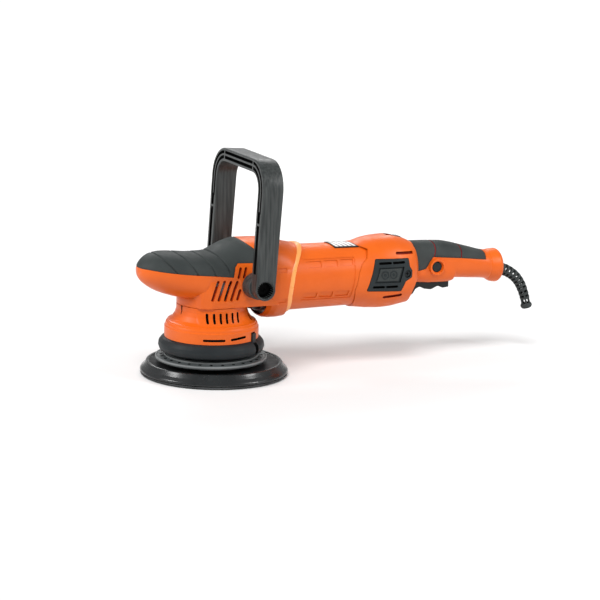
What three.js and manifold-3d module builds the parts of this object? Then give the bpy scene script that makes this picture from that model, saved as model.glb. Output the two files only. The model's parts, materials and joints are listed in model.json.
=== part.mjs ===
// Dual-action polisher: an orbiting backing plate under a bevel-gear head, a barrel motor,
// a two-half rear handle with trigger, and a bail handle over the head.
// Millimetres. +X runs from the nose to the tail, -Y is the operator's left, +Z is up.
// The origin is where the spindle axis meets the plane of the pad's face.

import * as THREE from 'three';
import { mergeVertices } from 'three/addons/utils/BufferGeometryUtils.js';
import Module from 'manifold-3d';

const wasm = await Module();
wasm.setup();

// ---------------------------------------------------------------- driving dimensions

const GAP = 0.3; // between two pieces that touch
const SIDES = { small: 8, medium: 14, large: 24 }; // facets of round pieces

const MOTOR_Z = 106.5; // height of the armature's axis
const BAIL_PIVOT = { x: 33.4, z: 108.4 };
const BAIL_BOSS = { radius: 9, reach: 31 }; // where the gear case takes the bail's bolts
const BAIL_TOP = 250;
const BAIL_HALF_WIDTH = 73.5;
const BAIL_LEAN = 3.5; // degrees towards the tail at rest

const ORBIT_RADIUS = 10.5; // the pad's centre circles the spindle at this radius
const ORBIT_ANGLE = THREE.MathUtils.degToRad(48);
const PAD_CENTRE = {
  x: ORBIT_RADIUS * Math.cos(ORBIT_ANGLE),
  y: ORBIT_RADIUS * Math.sin(ORBIT_ANGLE),
};
const PAD_RADIUS = 83.4;
const PLATE_TOP = 15.5;

const SPINDLE_AXIS = { x: 0, y: 0 };
const SPINDLE_RADIUS = 8;
const CROWN_TEETH = 24;
const PINION_TEETH = 6;
const PINION_PITCH_RADIUS = 6.5;
const CROWN_PITCH_RADIUS = (PINION_PITCH_RADIUS * CROWN_TEETH) / PINION_TEETH;
const TOOTH_FACE = 10; // length of a gear tooth along its cone
const SHAFT_RADIUS = 4.5;

const BARREL_RADIUS = 36.6;
const STATOR = { start: 106, end: 152, outer: 32.6, bore: 22 };
const CORE_RADIUS = 20.5;
const COMMUTATOR = { start: 182, end: 201, radius: 13 };
const BRUSH_X = 192.5;
const REAR_BEARING_X = 206;
const FAN = { start: 76, end: 88, radius: 31 };

const WALL = 3.2;
const GRIP_SKIN = 2.4; // thickness of the rubber overmoulds
const DIAL = { x: 224.5, z: 134.3, radius: 13, halfWidth: 4 };
const LOCK = { x: 269, z: 111.5, radius: 6, boss: 9.7 };
const TRIGGER_PIVOT = { x: 250, z: 95.4 };
const TAIL_BORE = { radius: 8.2, z: 101 }; // where the cord guard leaves the handle
const CASE_FLANGE_RADIUS = 40.6;

// ---------------------------------------------------------------- materials

const paint = (color, roughness, metalness = 0) =>
  new THREE.MeshStandardMaterial({ color, roughness, metalness });

const orangePlastic = paint(0xe8651f, 0.42);
const blackPlastic = paint(0x2e3233, 0.55);
const blackRubber = paint(0x2b2f30, 0.7);
const greyPlastic = paint(0x4a5257, 0.5);
const hookFibre = paint(0x3a3b3c, 0.95);
const steel = paint(0xa9adb0, 0.35, 0.9);
const castAluminium = paint(0xb4b7b9, 0.5, 0.8);
const copper = paint(0xb8703a, 0.4, 0.9);
const carbon = paint(0x242424, 0.85);
const labelStock = paint(0xd9d9d6, 0.4);

// ---------------------------------------------------------------- solids

// A closed geometry as a solid: shared corners are welded and faces turned outwards.
function solid(geometry) {
  const bare = new THREE.BufferGeometry();
  bare.setAttribute('position', geometry.getAttribute('position'));
  if (geometry.index) bare.setIndex(geometry.index);
  const welded = mergeVertices(bare, 1e-4);
  const vertProperties = new Float32Array(welded.getAttribute('position').array);
  const corners = [];
  let volume = 0;
  const [a, b, c] = [new THREE.Vector3(), new THREE.Vector3(), new THREE.Vector3()];
  for (let i = 0; i < welded.index.count; i += 3) {
    const triangle = [0, 1, 2].map((k) => welded.index.getX(i + k));
    if (new Set(triangle).size < 3) continue;
    [a, b, c].forEach((corner, k) => corner.fromArray(vertProperties, 3 * triangle[k]));
    volume += a.dot(b.clone().cross(c));
    corners.push(triangle);
  }
  if (volume < 0) corners.forEach((triangle) => triangle.reverse());
  const triVerts = new Uint32Array(corners.flat());
  return new wasm.Manifold(new wasm.Mesh({ numProp: 3, vertProperties, triVerts }));
}

function geometryOf(body) {
  const mesh = body.getMesh();
  const geometry = new THREE.BufferGeometry();
  geometry.setAttribute('position', new THREE.BufferAttribute(mesh.vertProperties, 3));
  geometry.setIndex(new THREE.BufferAttribute(mesh.triVerts, 1));
  geometry.computeVertexNormals();
  return geometry;
}

const union = (first, ...others) => others.reduce((sum, other) => sum.add(other), first);
const cut = (first, ...others) => others.reduce((rest, other) => rest.subtract(other), first);

const AXES = {
  x: new THREE.Vector3(1, 0, 0),
  y: new THREE.Vector3(0, 1, 0),
  z: new THREE.Vector3(0, 0, 1),
};

// An outline extruded along an axis, from low to high. The outline's two coordinates are
// (Y, Z) along X, (X, Z) along Y and (X, Y) along Z.
function prism(axis, outline, low, high) {
  const shape = Array.isArray(outline)
    ? new THREE.Shape(outline.map(([u, v]) => new THREE.Vector2(u, v)))
    : outline;
  const settings = { depth: high - low, bevelEnabled: false, curveSegments: 5 };
  const geometry = new THREE.ExtrudeGeometry(shape, settings);
  const basis = new THREE.Matrix4();
  if (axis === 'x') basis.makeBasis(AXES.y, AXES.z, AXES.x);
  if (axis === 'y') basis.makeBasis(AXES.x, AXES.z, AXES.y.clone().negate());
  geometry.applyMatrix4(basis);
  const start = axis === 'y' ? high : low;
  geometry.translate(...AXES[axis].clone().multiplyScalar(start).toArray());
  return solid(geometry);
}

// A profile of [radius, place along the axis] points turned about an axis through centre.
function turned(axis, profile, centre = {}, sides = SIDES.medium) {
  const points = profile.map(([radius, along]) => new THREE.Vector2(radius, along));
  const open = points[0].x > 0 || points.at(-1).x > 0;
  if (open) points.push(points[0].clone());
  const geometry = new THREE.LatheGeometry(points, sides);
  if (axis === 'x') geometry.rotateZ(-Math.PI / 2);
  if (axis === 'z') geometry.rotateX(Math.PI / 2);
  geometry.translate(centre.x ?? 0, centre.y ?? 0, centre.z ?? 0);
  return solid(geometry);
}

const disc = (axis, radius, low, high, centre, sides) =>
  turned(axis, [[0, low], [radius, low], [radius, high], [0, high]], centre, sides);

const ring = (axis, outer, inner, low, high, centre, sides) =>
  turned(axis, [[inner, low], [outer, low], [outer, high], [inner, high]], centre, sides);

const block = (x0, x1, y0, y1, z0, z1) =>
  prism('z', [[x0, y0], [x1, y0], [x1, y1], [x0, y1]], z0, z1);

// Rings of points joined in order, with both ends closed.
function loft(rings) {
  const count = rings[0].length;
  const positions = rings.flat().flatMap((point) => point.toArray());
  const index = [];
  for (let r = 0; r + 1 < rings.length; r += 1) {
    for (let i = 0; i < count; i += 1) {
      const [a, b] = [r * count + i, r * count + ((i + 1) % count)];
      index.push(a, b, b + count, a, b + count, a + count);
    }
  }
  for (const [end, turn] of [[0, -1], [rings.length - 1, 1]]) {
    const middle = new THREE.Vector3();
    rings[end].forEach((point) => middle.addScaledVector(point, 1 / count));
    const centre = positions.length / 3;
    positions.push(...middle.toArray());
    for (let i = 0; i < count; i += 1) {
      const pair = [end * count + i, end * count + ((i + 1) % count)];
      index.push(centre, ...(turn > 0 ? pair : pair.reverse()));
    }
  }
  const geometry = new THREE.BufferGeometry();
  geometry.setAttribute('position', new THREE.Float32BufferAttribute(positions, 3));
  geometry.setIndex(index);
  return solid(geometry);
}

// One cross-section of a moulded shell, in the plane X = x: two half superellipses that
// meet at the belt height. A higher squareness gives flatter sides.
function section(station, inset, sides) {
  const [x, top, belt, bottom, halfWidth, squareTop, squareBottom] = station;
  const points = [];
  for (let i = 0; i < sides; i += 1) {
    const angle = (2 * Math.PI * i) / sides;
    const [across, upwards] = [Math.cos(angle), Math.sin(angle)];
    const power = 2 / (upwards >= 0 ? squareTop : squareBottom);
    const reach = upwards >= 0 ? top - belt : belt - bottom;
    const y = Math.max(halfWidth - inset, 0.5) * Math.sign(across) * Math.abs(across) ** power;
    const z = Math.max(reach - inset, 0.5) * Math.sign(upwards) * Math.abs(upwards) ** power;
    points.push(new THREE.Vector3(x, y, belt + z));
  }
  return points;
}

// A shell's outline solid, drawn in by inset. An end that narrows is drawn in along X too.
function moulded(stations, inset = 0, sides = 16) {
  const widest = Math.max(...stations.map((station) => station[4]));
  const middle = (stations[0][0] + stations.at(-1)[0]) / 2;
  const rings = stations.map(([x, ...rest]) => {
    const narrowed = 1 - rest[3] / widest;
    return section([x + inset * narrowed * Math.sign(middle - x), ...rest], inset, sides);
  });
  return loft(rings);
}

// ---------------------------------------------------------------- moulded outlines

// [x, top, belt, bottom, half width, squareness above the belt, squareness below it]
const HEAD = [
  [-89.5, 125.6, 124, 122, 1.5, 2, 2],
  [-88, 130.5, 124, 116.5, 9, 2, 2],
  [-84.5, 135.4, 124, 111.5, 15.5, 2, 2],
  [-79, 139.6, 124, 107, 22, 2.1, 2],
  [-71, 142.8, 124, 102, 28.2, 2.2, 2.1],
  [-60, 144, 123.5, 97.5, 33, 2.3, 2.2],
  [-44, 143, 122.5, 93.2, 36.8, 2.3, 2.5],
  [-25, 141.4, 121.5, 91.6, 37.6, 2.3, 3.2],
  [-8, 141.6, 120.5, 91.4, 38.2, 2.3, 4],
  [5, 146.5, 119.5, 91.2, 38.8, 2.3, 4.5],
  [17, 152.4, 118.5, 91, 39.6, 2.3, 4.5],
  [30, 155.1, 118, 90.6, 40.4, 2.4, 4.5],
  [56, 154.6, 116, 90.4, 41, 2.4, 4.5],
  [66, 154.2, 114, 90.2, 41, 2.4, 4.5],
];
const REAR_BODY = [
  [150, 142.6, 106.5, 70.2, 36.2, 2, 2],
  [171, 143.4, 106.5, 68, 36.8, 2.1, 2.1],
  [188, 147.4, 106.5, 66.1, 37.2, 2.2, 2.2],
  [213, 149, 106.5, 66.6, 37.2, 2.5, 2.5],
  [224, 147, 106.5, 68.4, 36, 2.5, 2.5],
  [234, 144, 106.5, 70, 33.5, 2.5, 2.6],
  [243.4, 137, 106.5, 72.4, 26, 2.5, 3],
];
const HANDLE = [
  [228, 139.8, 113, 92, 18, 2.4, 3],
  [265, 139, 113, 90.8, 20.6, 2.4, 3.2],
  [284, 137.8, 112, 90.4, 21, 2.4, 3.2],
  [292.5, 136.2, 111.4, 91.4, 21, 2.4, 3],
  [297.5, 135, 111, 94.6, 20.8, 2.4, 2.6],
  [337, 124.4, 107.5, 91.2, 19, 2.2, 2.2],
  [342, 123.8, 106.5, 90, 18.8, 2.1, 2.1],
  [349, 124.6, 105.2, 86.2, 19.4, 2, 2],
  [354.5, 124.8, 105, 85.4, 19.7, 2, 2],
  [358.5, 122.4, 105, 87.8, 17.4, 2, 2],
  [360.5, 118.5, 105, 91.5, 13.5, 2, 2],
];

// Where the rubber covers the nose and the hump, seen from the side.
const PALM_ZONE = [
  [-95, 128.5], [-81, 128], [-60, 125.6], [-32, 122.4], [-8, 120], [9.5, 118], [11.5, 129],
  [15, 133.4], [37, 133], [46, 139.5], [24, 158], [-95, 158],
];
// Half the plan of the head's square-sided base, which carries its vents.
const HEAD_BASE = [[-33, 0], [-33, -20], [-27, -34], [-16, -39.4], [66, -39.4], [66, 0]];
const HEAD_BASE_Z = 83.5;
// The undercut behind the body and below the handle, ahead of the trigger.
const REAR_UNDERCUT = [
  [260, 55], [232.6, 55], [233, 80], [234.6, 88], [238, 96.4], [243.6, 103.4], [260, 103.4],
];
// The moulded step between the head and the barrel, and the one behind the barrel.
const HEAD_EDGE = [
  [98.5, 146], [94, 142], [86.5, 133], [80.7, 124], [77.2, 114], [75.3, 103], [74.8, 92],
  [77, 80], [80, 68],
];
const BARREL_EDGE = [
  [163.5, 150], [164, 143], [175, 139.4], [180, 137.6], [176.3, 128.4], [168.5, 122],
  [164.4, 113], [160.6, 93], [163, 80], [166, 70],
];
const HANDLE_GRIP_ZONE = [
  [226, 106], [243, 106.6], [256, 109.5], [260, 115], [265, 122.9], [300, 119.8],
  [332, 116], [334, 127], [336, 150], [226, 150],
];
const COVER_OUTLINE = [
  [185, 127.2], [226.6, 126.2], [227.8, 116.6], [231.2, 112], [231, 104.4], [222.6, 100.4],
  [217.6, 89.2], [174.6, 91.4],
];

// The side of an edge line that lies towards the tail, shifted along X and closed off.
const towardsTail = (edge, shift, far) => {
  const line = edge.map(([x, z]) => [x + shift, z]);
  return [[line[0][0], 175], ...line, [line.at(-1)[0], 40], [far, 40], [far, 175]];
};

// An outline moved outwards by amount, its corners mitred.
function grown(outline, amount) {
  const count = outline.length;
  const edges = outline.map(([u, v], i) => {
    const [nextU, nextV] = outline[(i + 1) % count];
    return new THREE.Vector2(nextV - v, u - nextU).normalize();
  });
  const area = outline.reduce((sum, [u, v], i) => {
    const [nextU, nextV] = outline[(i + 1) % count];
    return sum + u * nextV - nextU * v;
  }, 0);
  return outline.map(([u, v], i) => {
    const [before, after] = [edges[(i + count - 1) % count], edges[i]];
    const reach = (Math.sign(area) * amount) / (1 + before.dot(after));
    return [u + (before.x + after.x) * reach, v + (before.y + after.y) * reach];
  });
}

// ---------------------------------------------------------------- head

// A straight slot through the shell, drawn from the side.
function slot(x0, z0, x1, z1, width, y0, y1) {
  const along = new THREE.Vector2(x1 - x0, z1 - z0).normalize().multiplyScalar(width / 2);
  const outline = [
    [x0 - along.x - along.y, z0 - along.y + along.x],
    [x0 - along.x + along.y, z0 - along.y - along.x],
    [x1 + along.x + along.y, z1 + along.y - along.x],
    [x1 + along.x - along.y, z1 + along.y + along.x],
  ];
  return prism('y', outline, y0, y1);
}

function headCover() {
  const axis = { z: MOTOR_Z };
  const neck = disc('z', 39.7, HEAD_BASE_Z, 100, SPINDLE_AXIS, SIDES.large);
  const halfBases = [1, -1].map((side) =>
    prism('z', HEAD_BASE.map(([x, y]) => [x, side * y]), HEAD_BASE_Z, 104));
  const flangeRing = turned(
    'x',
    [[0, 50], [41.5, 53.5], [43.6, 60], [43.8, 72], [43, 80], [40.4, 91], [38.8, 99], [0, 99]],
    axis,
    SIDES.large,
  );
  const outer = union(moulded(HEAD), neck, ...halfBases, flangeRing);
  const cavity = union(
    moulded(HEAD.slice(3), 5.2, 12),
    disc('z', 36.4, 80, 112, SPINDLE_AXIS, SIDES.large),
    disc('x', CASE_FLANGE_RADIUS + GAP, 56, 70, axis, SIDES.large),
    disc('x', 37.6, 56, 104, axis, SIDES.large),
    disc('x', 23.5, 0, 60, axis, SIDES.large),
    disc('x', 31, 44, 60, axis, SIDES.large),
    block(30, 49.4, -35.6, 35.6, 80, 100),
    disc('y', BAIL_BOSS.radius + 0.4, -BAIL_BOSS.reach - GAP, BAIL_BOSS.reach + GAP, BAIL_PIVOT),
    disc('x', 39.6, 48, 59.4, axis, SIDES.large).intersect(block(30, 70, -36, 36, 50, 88)),
  );
  const palmRecess = cut(
    prism('y', grown(PALM_ZONE, GAP), -60, 60),
    moulded(HEAD, GRIP_SKIN + GAP),
  );
  const vents = [];
  for (let i = 0; i < 5; i += 1) {
    const x = -15 + 7.2 * i;
    const top = i < 4 ? [x + 7.4, 112.8] : [x + 4, 102];
    vents.push(slot(x, 94.5, ...top, 2.6, -60, 60));
  }
  for (const x of [15.6, 21.8]) vents.push(slot(x, 117.5, x + 2.2, 127, 2.6, -60, 60));
  const boltHoles = disc('y', 4.4, -60, 60, BAIL_PIVOT, SIDES.small);
  const keep = prism('y', towardsTail(HEAD_EDGE, -GAP, 140), -70, 70);
  return cut(outer, cavity, palmRecess, ...vents, boltHoles, keep);
}

function palmGrip() {
  const skin = cut(moulded(HEAD), moulded(HEAD, GRIP_SKIN));
  const zone = prism('y', PALM_ZONE, -60, 60);
  return skin.intersect(zone);
}

function headSkirt() {
  const outside = [
    [39.7, 83.2], [39.9, 77], [41.5, 72], [44.6, 66.6], [50.6, 61.8], [52.7, 57.5], [52.7, 45.8],
  ];
  const inside = [[49.6, 45.8], [49.6, 59], [42, 65], [36.6, 74], [36.4, 83.2]];
  const shell = turned('z', [...outside, ...inside], SPINDLE_AXIS, SIDES.large);
  const openings = [];
  for (let i = 0; i < 6; i += 1) {
    const x = -22.6 + 7 * i;
    openings.push(slot(x, 69.6, x + 0.4, 76.4, 2.6, -60, 60));
  }
  openings.push(slot(-26, 50.8, -8, 50.6, 2.4, -60, 60));
  openings.push(slot(3, 51, 17, 52.4, 2.4, -60, 60));
  return cut(shell, ...openings);
}

function shroudRing() {
  const outside = [
    [50, 29.5], [54.5, 29.2], [57.6, 31], [59.4, 35.6], [58.6, 40], [55.6, 44], [52.4, 45.5],
    [49.3, 45.5], [49.3, 50], [47.2, 50],
  ];
  const inside = [[47.2, 43.6], [52.4, 42.6], [55.4, 36], [53.6, 32], [50, 31.6]];
  return turned('z', [...outside, ...inside], SPINDLE_AXIS, SIDES.large);
}

function gearCase() {
  const axis = { z: MOTOR_Z };
  // The cast foot that hangs in the open gap between the neck and the motor's flange.
  const foot = turned(
    'x',
    [[0, 41.8], [32.2, 43.4], [32.2, 50], [34.4, 51.8], [34.4, 60], [0, 60]],
    axis,
  ).intersect(block(38, 64, -32.4, 32.4, 60, 82.6));
  const outer = union(
    disc('z', 31.8, 82, 122.6, SPINDLE_AXIS, SIDES.large),
    turned('x', [[0, 0], [23, 0], [23, 45], [30, 56], [30, 59.5], [CASE_FLANGE_RADIUS, 59.5],
      [CASE_FLANGE_RADIUS, 64], [0, 64]], axis, SIDES.large),
    disc('y', BAIL_BOSS.radius, -BAIL_BOSS.reach, BAIL_BOSS.reach, BAIL_PIVOT),
    foot,
  );
  const hollow = [
    disc('z', 29.6, 80, 108.5, SPINDLE_AXIS, SIDES.large),
    disc('z', 11.1, 108, 120.3, SPINDLE_AXIS),
    disc('x', 10.5, 0, 37, axis, SIDES.small),
    disc('x', 13.3, 36.7, 47.3, axis, SIDES.medium),
    disc('x', 9, 46, 54, axis, SIDES.small),
    disc('x', 25, 53, 65, axis),
    disc('y', 4.3, -36, -14, BAIL_PIVOT, SIDES.small),
    disc('y', 4.3, 14, 36, BAIL_PIVOT, SIDES.small),
  ];
  const screwHoles = caseScrewPlaces().map((place) => disc('x', 2, 58, 66, place, SIDES.small));
  return cut(outer, ...hollow, ...screwHoles);
}

function bearingPlate() {
  const profile = [
    [9.6, 64], [9.6, 66.2], [17.8, 66.2], [17.8, 81.7], [31.8, 81.7], [31.8, 76], [22.5, 74],
    [21, 64],
  ];
  return turned('z', profile, SPINDLE_AXIS, SIDES.large);
}

// ---------------------------------------------------------------- motor

function motorHousing() {
  const axis = { z: MOTOR_Z };
  const barrel = turned(
    'x',
    [[0, 64.3], [CASE_FLANGE_RADIUS, 64.3], [CASE_FLANGE_RADIUS, 69.6], [37.2, 69.6],
      [37.2, 74], [BARREL_RADIUS, 120], [35.9, 190], [0, 190]],
    axis,
    SIDES.large,
  );
  const bore = turned(
    'x',
    [[0, 60], [34, 60], [33, 100], [33, 192], [0, 192]],
    axis,
    SIDES.large,
  );
  const band = disc('x', 38.2, 70, 112, axis, SIDES.large)
    .intersect(prism('y', towardsTail(HEAD_EDGE, GAP, 140), -60, 60))
    .subtract(prism('y', towardsTail(HEAD_EDGE, 7.4, 140), -60, 60));
  const behind = prism('y', towardsTail(BARREL_EDGE, -GAP, 240), -60, 60);
  const screwHoles = caseScrewPlaces().map((place) => disc('x', 2, 60, 75, place, SIDES.small));
  return cut(union(barrel, band), bore, behind, ...screwHoles);
}

const caseScrewPlaces = () =>
  [45, 135, 225, 315].map((degrees) => ({
    y: 37.8 * Math.cos(THREE.MathUtils.degToRad(degrees)),
    z: MOTOR_Z + 37.8 * Math.sin(THREE.MathUtils.degToRad(degrees)),
  }));

function caseScrew(place) {
  const profile = [[0, 56.4], [2.6, 56.4], [2.6, 59.2], [1.7, 59.2], [1.7, 69.2], [0, 69.2]];
  return turned('x', profile, place, SIDES.small);
}

function stator() {
  const axis = { z: MOTOR_Z };
  const { start, end, outer, bore } = STATOR;
  const poles = ring('x', outer, bore, start, end, axis, SIDES.large);
  const windows = [-1, 1].map((side) => fieldSlot(side, 15.5, 3.4, start - 1, end + 1));
  return cut(poles, ...windows);
}

// The block above or below the bore that a field coil lies in.
function fieldSlot(side, halfWidth, halfHeight, low, high) {
  const middle = MOTOR_Z + side * 24.2;
  return block(low, high, -halfWidth, halfWidth, middle - halfHeight, middle + halfHeight);
}

// A field coil bulges past both ends of the stator.
function fieldCoil(side) {
  const { start, end, bore } = STATOR;
  const coil = fieldSlot(side, 15.1, 3, start - 9, end + 11);
  return cut(coil, disc('x', bore + 0.2, start - 20, end + 20, { z: MOTOR_Z }, SIDES.large));
}

function airBaffle() {
  const axis = { z: MOTOR_Z };
  return turned('x', [[24, 90.2], [32.6, 90.2], [32.6, 95], [30.6, 95], [30.6, 92], [24, 92]],
    axis, SIDES.medium);
}

function armatureShaft() {
  const axis = { z: MOTOR_Z };
  const shaft = turned(
    'x',
    [[0, 15.5], [2.85, 15.5], [4.85, 26], [4.95, 27.3], [6, 27.9], [6, 36.4],
      [SHAFT_RADIUS, 36.4], [SHAFT_RADIUS, REAR_BEARING_X + 8.5], [0, REAR_BEARING_X + 8.5]],
    axis,
    SIDES.medium,
  );
  const teeth = [];
  for (let i = 0; i < PINION_TEETH; i += 1) {
    const angle = -Math.PI / 2 + (2 * Math.PI * i) / PINION_TEETH;
    teeth.push(coneTooth(angle, CROWN_PITCH_RADIUS, PINION_PITCH_RADIUS, 'x'));
  }
  return union(shaft, ...teeth);
}

// A straight bevel tooth that narrows towards the point where the two shaft axes meet.
function coneTooth(angle, along, pitch, axis) {
  const apex = new THREE.Vector3(0, 0, MOTOR_Z);
  const halfWidth = 1;
  const outerEnd = 1.03;
  const innerEnd = outerEnd - TOOTH_FACE / CROWN_PITCH_RADIUS;
  const rootDrop = axis === 'x' ? 2.4 : 3.2;
  const tip = 1.35;
  const corner = (scale, height, side) => {
    const width = side * halfWidth * (height > 0 ? 0.62 : 1.25);
    const point = new THREE.Vector3();
    if (axis === 'x') {
      const radius = pitch + height;
      point.set(along, radius * Math.cos(angle) - width * Math.sin(angle),
        radius * Math.sin(angle) + width * Math.cos(angle));
    } else {
      point.set(pitch * Math.cos(angle) - width * Math.sin(angle),
        pitch * Math.sin(angle) + width * Math.cos(angle), along + height);
    }
    return apex.clone().addScaledVector(point, scale);
  };
  const end = (scale) => [
    corner(scale, -rootDrop, -1), corner(scale, -rootDrop, 1),
    corner(scale, tip, 1), corner(scale, tip, -1),
  ];
  return loft([end(innerEnd), end(outerEnd)]);
}

function armatureCore() {
  const axis = { z: MOTOR_Z };
  const { start, end } = STATOR;
  const profile = [
    [SHAFT_RADIUS + GAP, start - 8], [13, start - 8], [16, start - 2], [16, start],
    [CORE_RADIUS, start], [CORE_RADIUS, end], [16, end], [16, end + 3], [12, end + 12],
    [SHAFT_RADIUS + GAP, end + 12],
  ];
  return turned('x', profile, axis, SIDES.medium);
}

function commutator() {
  const { start, end, radius } = COMMUTATOR;
  const profile = [
    [SHAFT_RADIUS + GAP, start], [radius + 1.6, start], [radius + 1.6, start + 3],
    [radius, start + 4], [radius, end], [SHAFT_RADIUS + GAP, end],
  ];
  return turned('x', profile, { z: MOTOR_Z }, SIDES.medium);
}

function coolingFan() {
  const { start, end, radius } = FAN;
  const axis = { z: MOTOR_Z };
  const hub = ring('x', 11, SHAFT_RADIUS + GAP, start, end, axis, SIDES.medium);
  const back = ring('x', radius, 10, start, start + 2, axis, SIDES.medium);
  const blades = [];
  const count = 9;
  for (let i = 0; i < count; i += 1) {
    const blade = new THREE.BoxGeometry(end - start - 2, radius - 10, 1.8);
    blade.translate((start + end) / 2, (radius + 8) / 2, 0);
    blade.rotateX((2 * Math.PI * i) / count);
    blade.translate(0, 0, MOTOR_Z);
    blades.push(solid(blade));
  }
  return union(hub, back, ...blades);
}

const bearing = (axis, outer, inner, low, high, centre) =>
  ring(axis, outer, inner, low, high, centre, SIDES.medium);

// ---------------------------------------------------------------- spindle and pad

function outputSpindle() {
  const profile = [
    [0, 46.5], [6.8, 46.5], [6.8, 62], [SPINDLE_RADIUS, 62], [SPINDLE_RADIUS, 83.4],
    [6, 83.4], [6, 119.8], [0, 119.8],
  ];
  return turned('z', profile, SPINDLE_AXIS, SIDES.medium);
}

function crownGear() {
  const rim = CROWN_PITCH_RADIUS * 1.03;
  const pitchDrop = PINION_PITCH_RADIUS;
  const rootAt = (radius) => MOTOR_Z - ((pitchDrop + 2) * radius) / CROWN_PITCH_RADIUS;
  const profile = [
    [6.3, 84], [20, 84], [rim, 91], [rim, rootAt(rim)], [15, rootAt(15)], [12, 98.5],
    [6.3, 98.5],
  ];
  const body = turned('z', profile, SPINDLE_AXIS, SIDES.medium);
  const teeth = [];
  for (let i = 0; i < CROWN_TEETH; i += 1) {
    const angle = (2 * Math.PI * (i + 0.5)) / CROWN_TEETH;
    teeth.push(coneTooth(angle, -PINION_PITCH_RADIUS, CROWN_PITCH_RADIUS, 'z'));
  }
  return union(body, ...teeth);
}

function counterweight() {
  const eccentric = { x: PAD_CENTRE.x, y: PAD_CENTRE.y };
  const away = ORBIT_ANGLE + Math.PI;
  const lobe = new THREE.Shape();
  lobe.absarc(0, 0, 45, away - 1.15, away + 1.15, false);
  lobe.absarc(0, 0, 22, away + 1.15, away - 1.15, true);
  const body = union(
    disc('z', 14, 42, 60, SPINDLE_AXIS, SIDES.medium),
    disc('z', 30, 39, 44, SPINDLE_AXIS, SIDES.large),
    disc('z', 20.4, 25, 42, eccentric, SIDES.medium),
    prism('z', lobe, 32, 44),
  );
  return cut(
    body,
    disc('z', 7.1, 46.2, 61, SPINDLE_AXIS, SIDES.medium),
    disc('z', 16.3, 20, 37.3, eccentric, SIDES.medium),
  );
}

function ventDisc() {
  const profile = [
    [31.6, 19.2], [61, 19.2], [62.5, 21], [60.4, 23.4], [51.4, 24.4], [50.6, 26.6],
    [34.4, 27.2], [34.4, 31.4], [31.6, 31.4],
  ];
  const plate = turned('z', profile, SPINDLE_AXIS, SIDES.large);
  const holes = [];
  const count = 12;
  for (let i = 0; i < count; i += 1) {
    const angle = (2 * Math.PI * i) / count;
    const place = { x: 56 * Math.cos(angle), y: 56 * Math.sin(angle) };
    holes.push(disc('z', 1.3, 15, 30, place, 4));
  }
  return cut(plate, ...holes);
}

function padSpindle() {
  const profile = [[0, 8.3], [6.9, 8.3], [6.9, 17.2], [12, 17.2], [12, 22], [9.6, 24.2],
    [SPINDLE_RADIUS, 24.2], [SPINDLE_RADIUS, 36], [0, 36]];
  const body = turned('z', profile, PAD_CENTRE);
  return cut(body, disc('z', 3.1, 0, 24, PAD_CENTRE, SIDES.small));
}

function backingPlate() {
  const profile = [
    [3.4, 8], [3.4, 7], [6.2, 7], [6.2, 3.1], [82, 3.1], [PAD_RADIUS, 4.6],
    [76.4, 14.6], [74.8, PLATE_TOP], [73.2, PLATE_TOP], [71.8, 14], [20, 14], [18, 16.8],
    [7.2, 16.8], [7.2, 8],
  ];
  return turned('z', profile, PAD_CENTRE, 28);
}

const hookFace = () => ring('z', 82, 5.8, 0, 2.8, PAD_CENTRE, 28);

function plateBolt() {
  const profile = [[0, 3.2], [5.4, 3.2], [5.4, 6.7], [2.8, 6.7], [2.8, 22], [0, 22]];
  const socket = disc('z', 2.6, 0, 5.4, PAD_CENTRE, 6);
  return cut(turned('z', profile, PAD_CENTRE, SIDES.small), socket);
}

// ---------------------------------------------------------------- rear body and handle

const handleScrewPlaces = [{ x: 226, z: 80 }, { x: 312, z: 98 }, { x: 340, z: 116 }];
const SCREW_FLOOR = 11; // Y of the seat under a handle screw's head

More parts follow.
